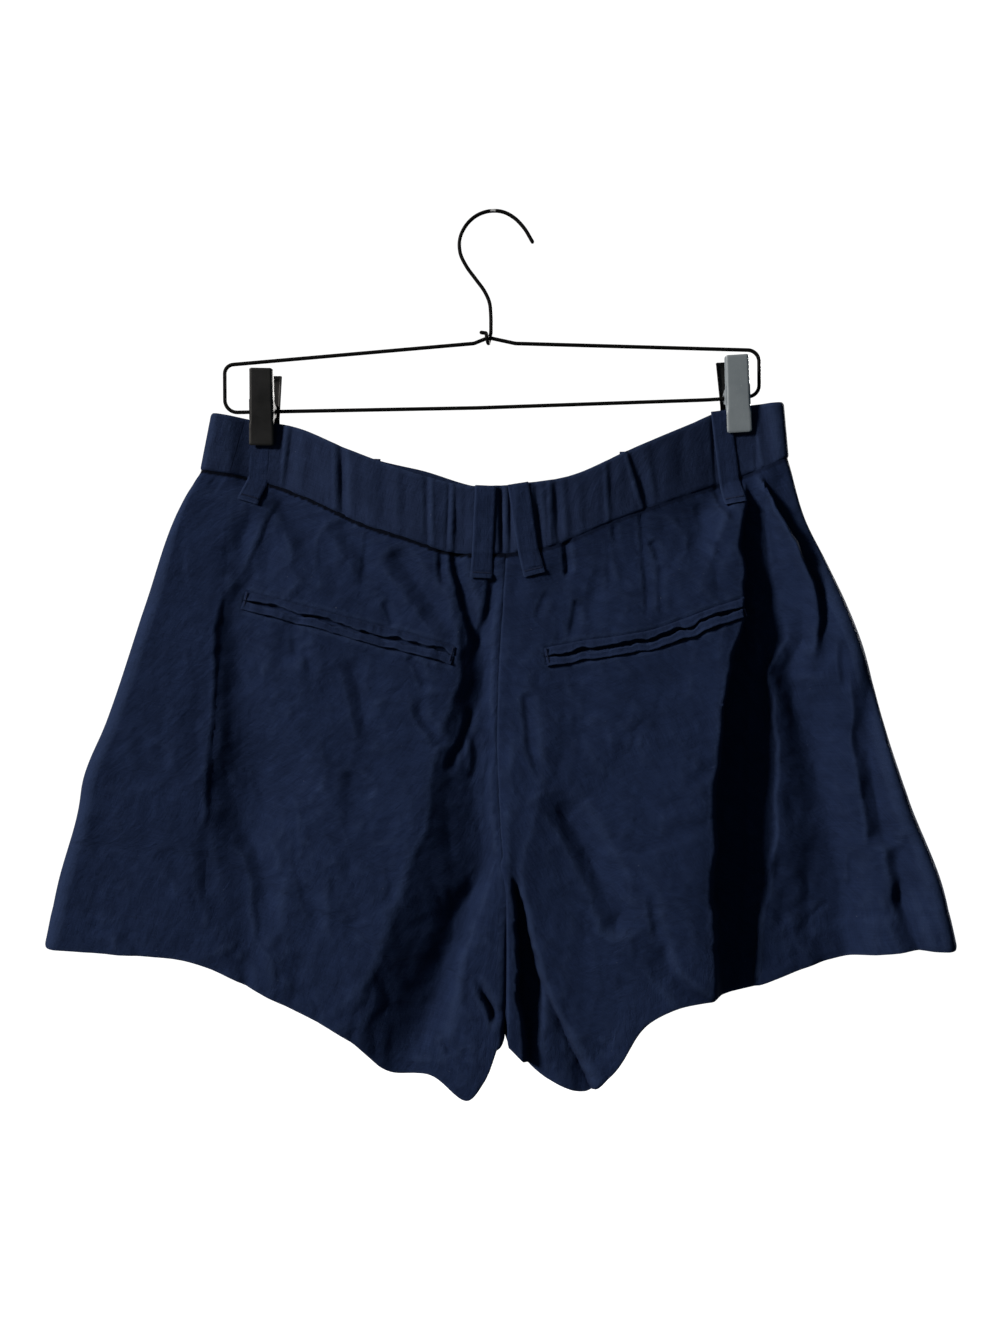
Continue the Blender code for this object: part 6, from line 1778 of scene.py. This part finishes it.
front_thread = stitches("fly_and_button_stitches", fly_rows + button_rows, 0.26)
for piece in (hem_thread, tack_thread, front_thread):
    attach(piece, "root")
make_hanger()
make_clips()

for leg, word in WORD.items():
    front, rear = panels[leg]
    sheet_size(front, 0.46, 0.33)
    sheet_size(rear, 0.30, 0.37)
    sheet_size(front_bands[leg], 0.26, 0.046)
sheet_size(band, 0.42, 0.046)


# ---------------------------------------------------------------- floor, light, camera
def stage_piece(name, verts, faces, colour, glow):
    mesh = bpy.data.meshes.new(name)
    mesh.from_pydata(verts, [], faces)
    made = bpy.data.objects.new(name, mesh)
    bpy.context.scene.collection.objects.link(made)
    mat, _, skin = shader_of(name + "_pale")
    skin.inputs["Base Color"].default_value = (*colour, 1)
    skin.inputs["Roughness"].default_value = 0.9
    skin.inputs["Emission Color"].default_value = (1, 1, 1, 1)
    skin.inputs["Emission Strength"].default_value = glow
    mesh.materials.append(mat)
    made.visible_shadow = False
    made.visible_diffuse = False
    made.visible_glossy = False


FLOOR_Z = -1.62             # metres, as all of the stage, the lights and the camera
COVE_R = 6


def make_stage():
    """A pale round floor well below the shorts, inside a plain white cove that lights nothing."""
    n = 48
    ring = [(math.cos(2 * math.pi * i / n), math.sin(2 * math.pi * i / n)) for i in range(n)]
    verts = [(0, 0, FLOOR_Z)] + [(5.9 * c, 5.9 * s, FLOOR_Z) for c, s in ring]
    faces = [(0, 1 + i, 1 + (i + 1) % n) for i in range(n)]
    stage_piece("floor", verts, faces, (0.5, 0.5, 0.5), 0.93)
    verts, faces = [], []
    levels = 13
    for k in range(levels):
        a = math.pi * k / (levels - 1) - math.pi / 2
        verts += [(COVE_R * math.cos(a) * c, COVE_R * math.cos(a) * s, COVE_R * math.sin(a)) for c, s in ring]
    for k in range(levels - 1):
        faces += [(k * n + i, (k + 1) * n + i, (k + 1) * n + (i + 1) % n, k * n + (i + 1) % n)
                  for i in range(n)]
    stage_piece("cove", verts, faces, (0.0, 0.0, 0.0), 1.05)


def world_light():
    world = bpy.data.worlds.new("studio")
    bpy.context.scene.world = world
    world.use_nodes = True
    tree = world.node_tree
    n = Nodes(tree)
    way = n.add("ShaderNodeTexCoord").outputs["Generated"]
    split = n.add("ShaderNodeSeparateXYZ")
    n.put(split.inputs[0], way)
    ahead = n.range(split.outputs["Y"], 0.35, 0.75, 0.0, 1.0)
    left = n.range(split.outputs["X"], 0.2, -1.0, 0.0, 1.0)
    colour = n.mix(left, (0.030, 0.048, 0.062), (0.085, 0.105, 0.125))
    colour = n.mix(ahead, colour, (0.42, 0.43, 0.45))
    back = tree.nodes["Background"]
    n.put(back.inputs["Color"], colour)
    back.inputs["Strength"].default_value = 1.0


def area_light(name, place, aim, energy, size, colour):
    data = bpy.data.lights.new(name, "AREA")
    data.energy = energy
    data.size = size
    data.color = colour
    light = bpy.data.objects.new(name, data)
    light.location = place
    light.rotation_euler = (Vector(aim) - Vector(place)).to_track_quat("-Z", "Y").to_euler()
    light.visible_camera = False
    bpy.context.scene.collection.objects.link(light)


make_stage()
world_light()
area_light("key", (-4.45, -3.05, 2.05), (0, 0, -0.33), 428.0, 1.0, (1.0, 0.94, 0.89))
area_light("left_fill", (-1.15, -0.8, -0.3), (-0.2, 0, -0.35), 0.5, 0.5, (1.0, 0.72, 0.5))
area_light("front_key", (1.7, 1.9, 0.5), (0, 0, -0.33), 120.0, 0.6, (1.0, 0.98, 0.95))

bpy.context.scene.view_settings.view_transform = "Standard"
camera_data = bpy.data.cameras.new("camera")
camera_data.lens = 33.2
camera_data.sensor_width = 36.0
camera = bpy.data.objects.new("camera", camera_data)
camera.location = (0.00195, -0.80, -0.2952)
camera.rotation_euler = (math.pi / 2, 0.0, 0.0)
bpy.context.scene.collection.objects.link(camera)
bpy.context.scene.camera = camera

bpy.context.view_layer.update()
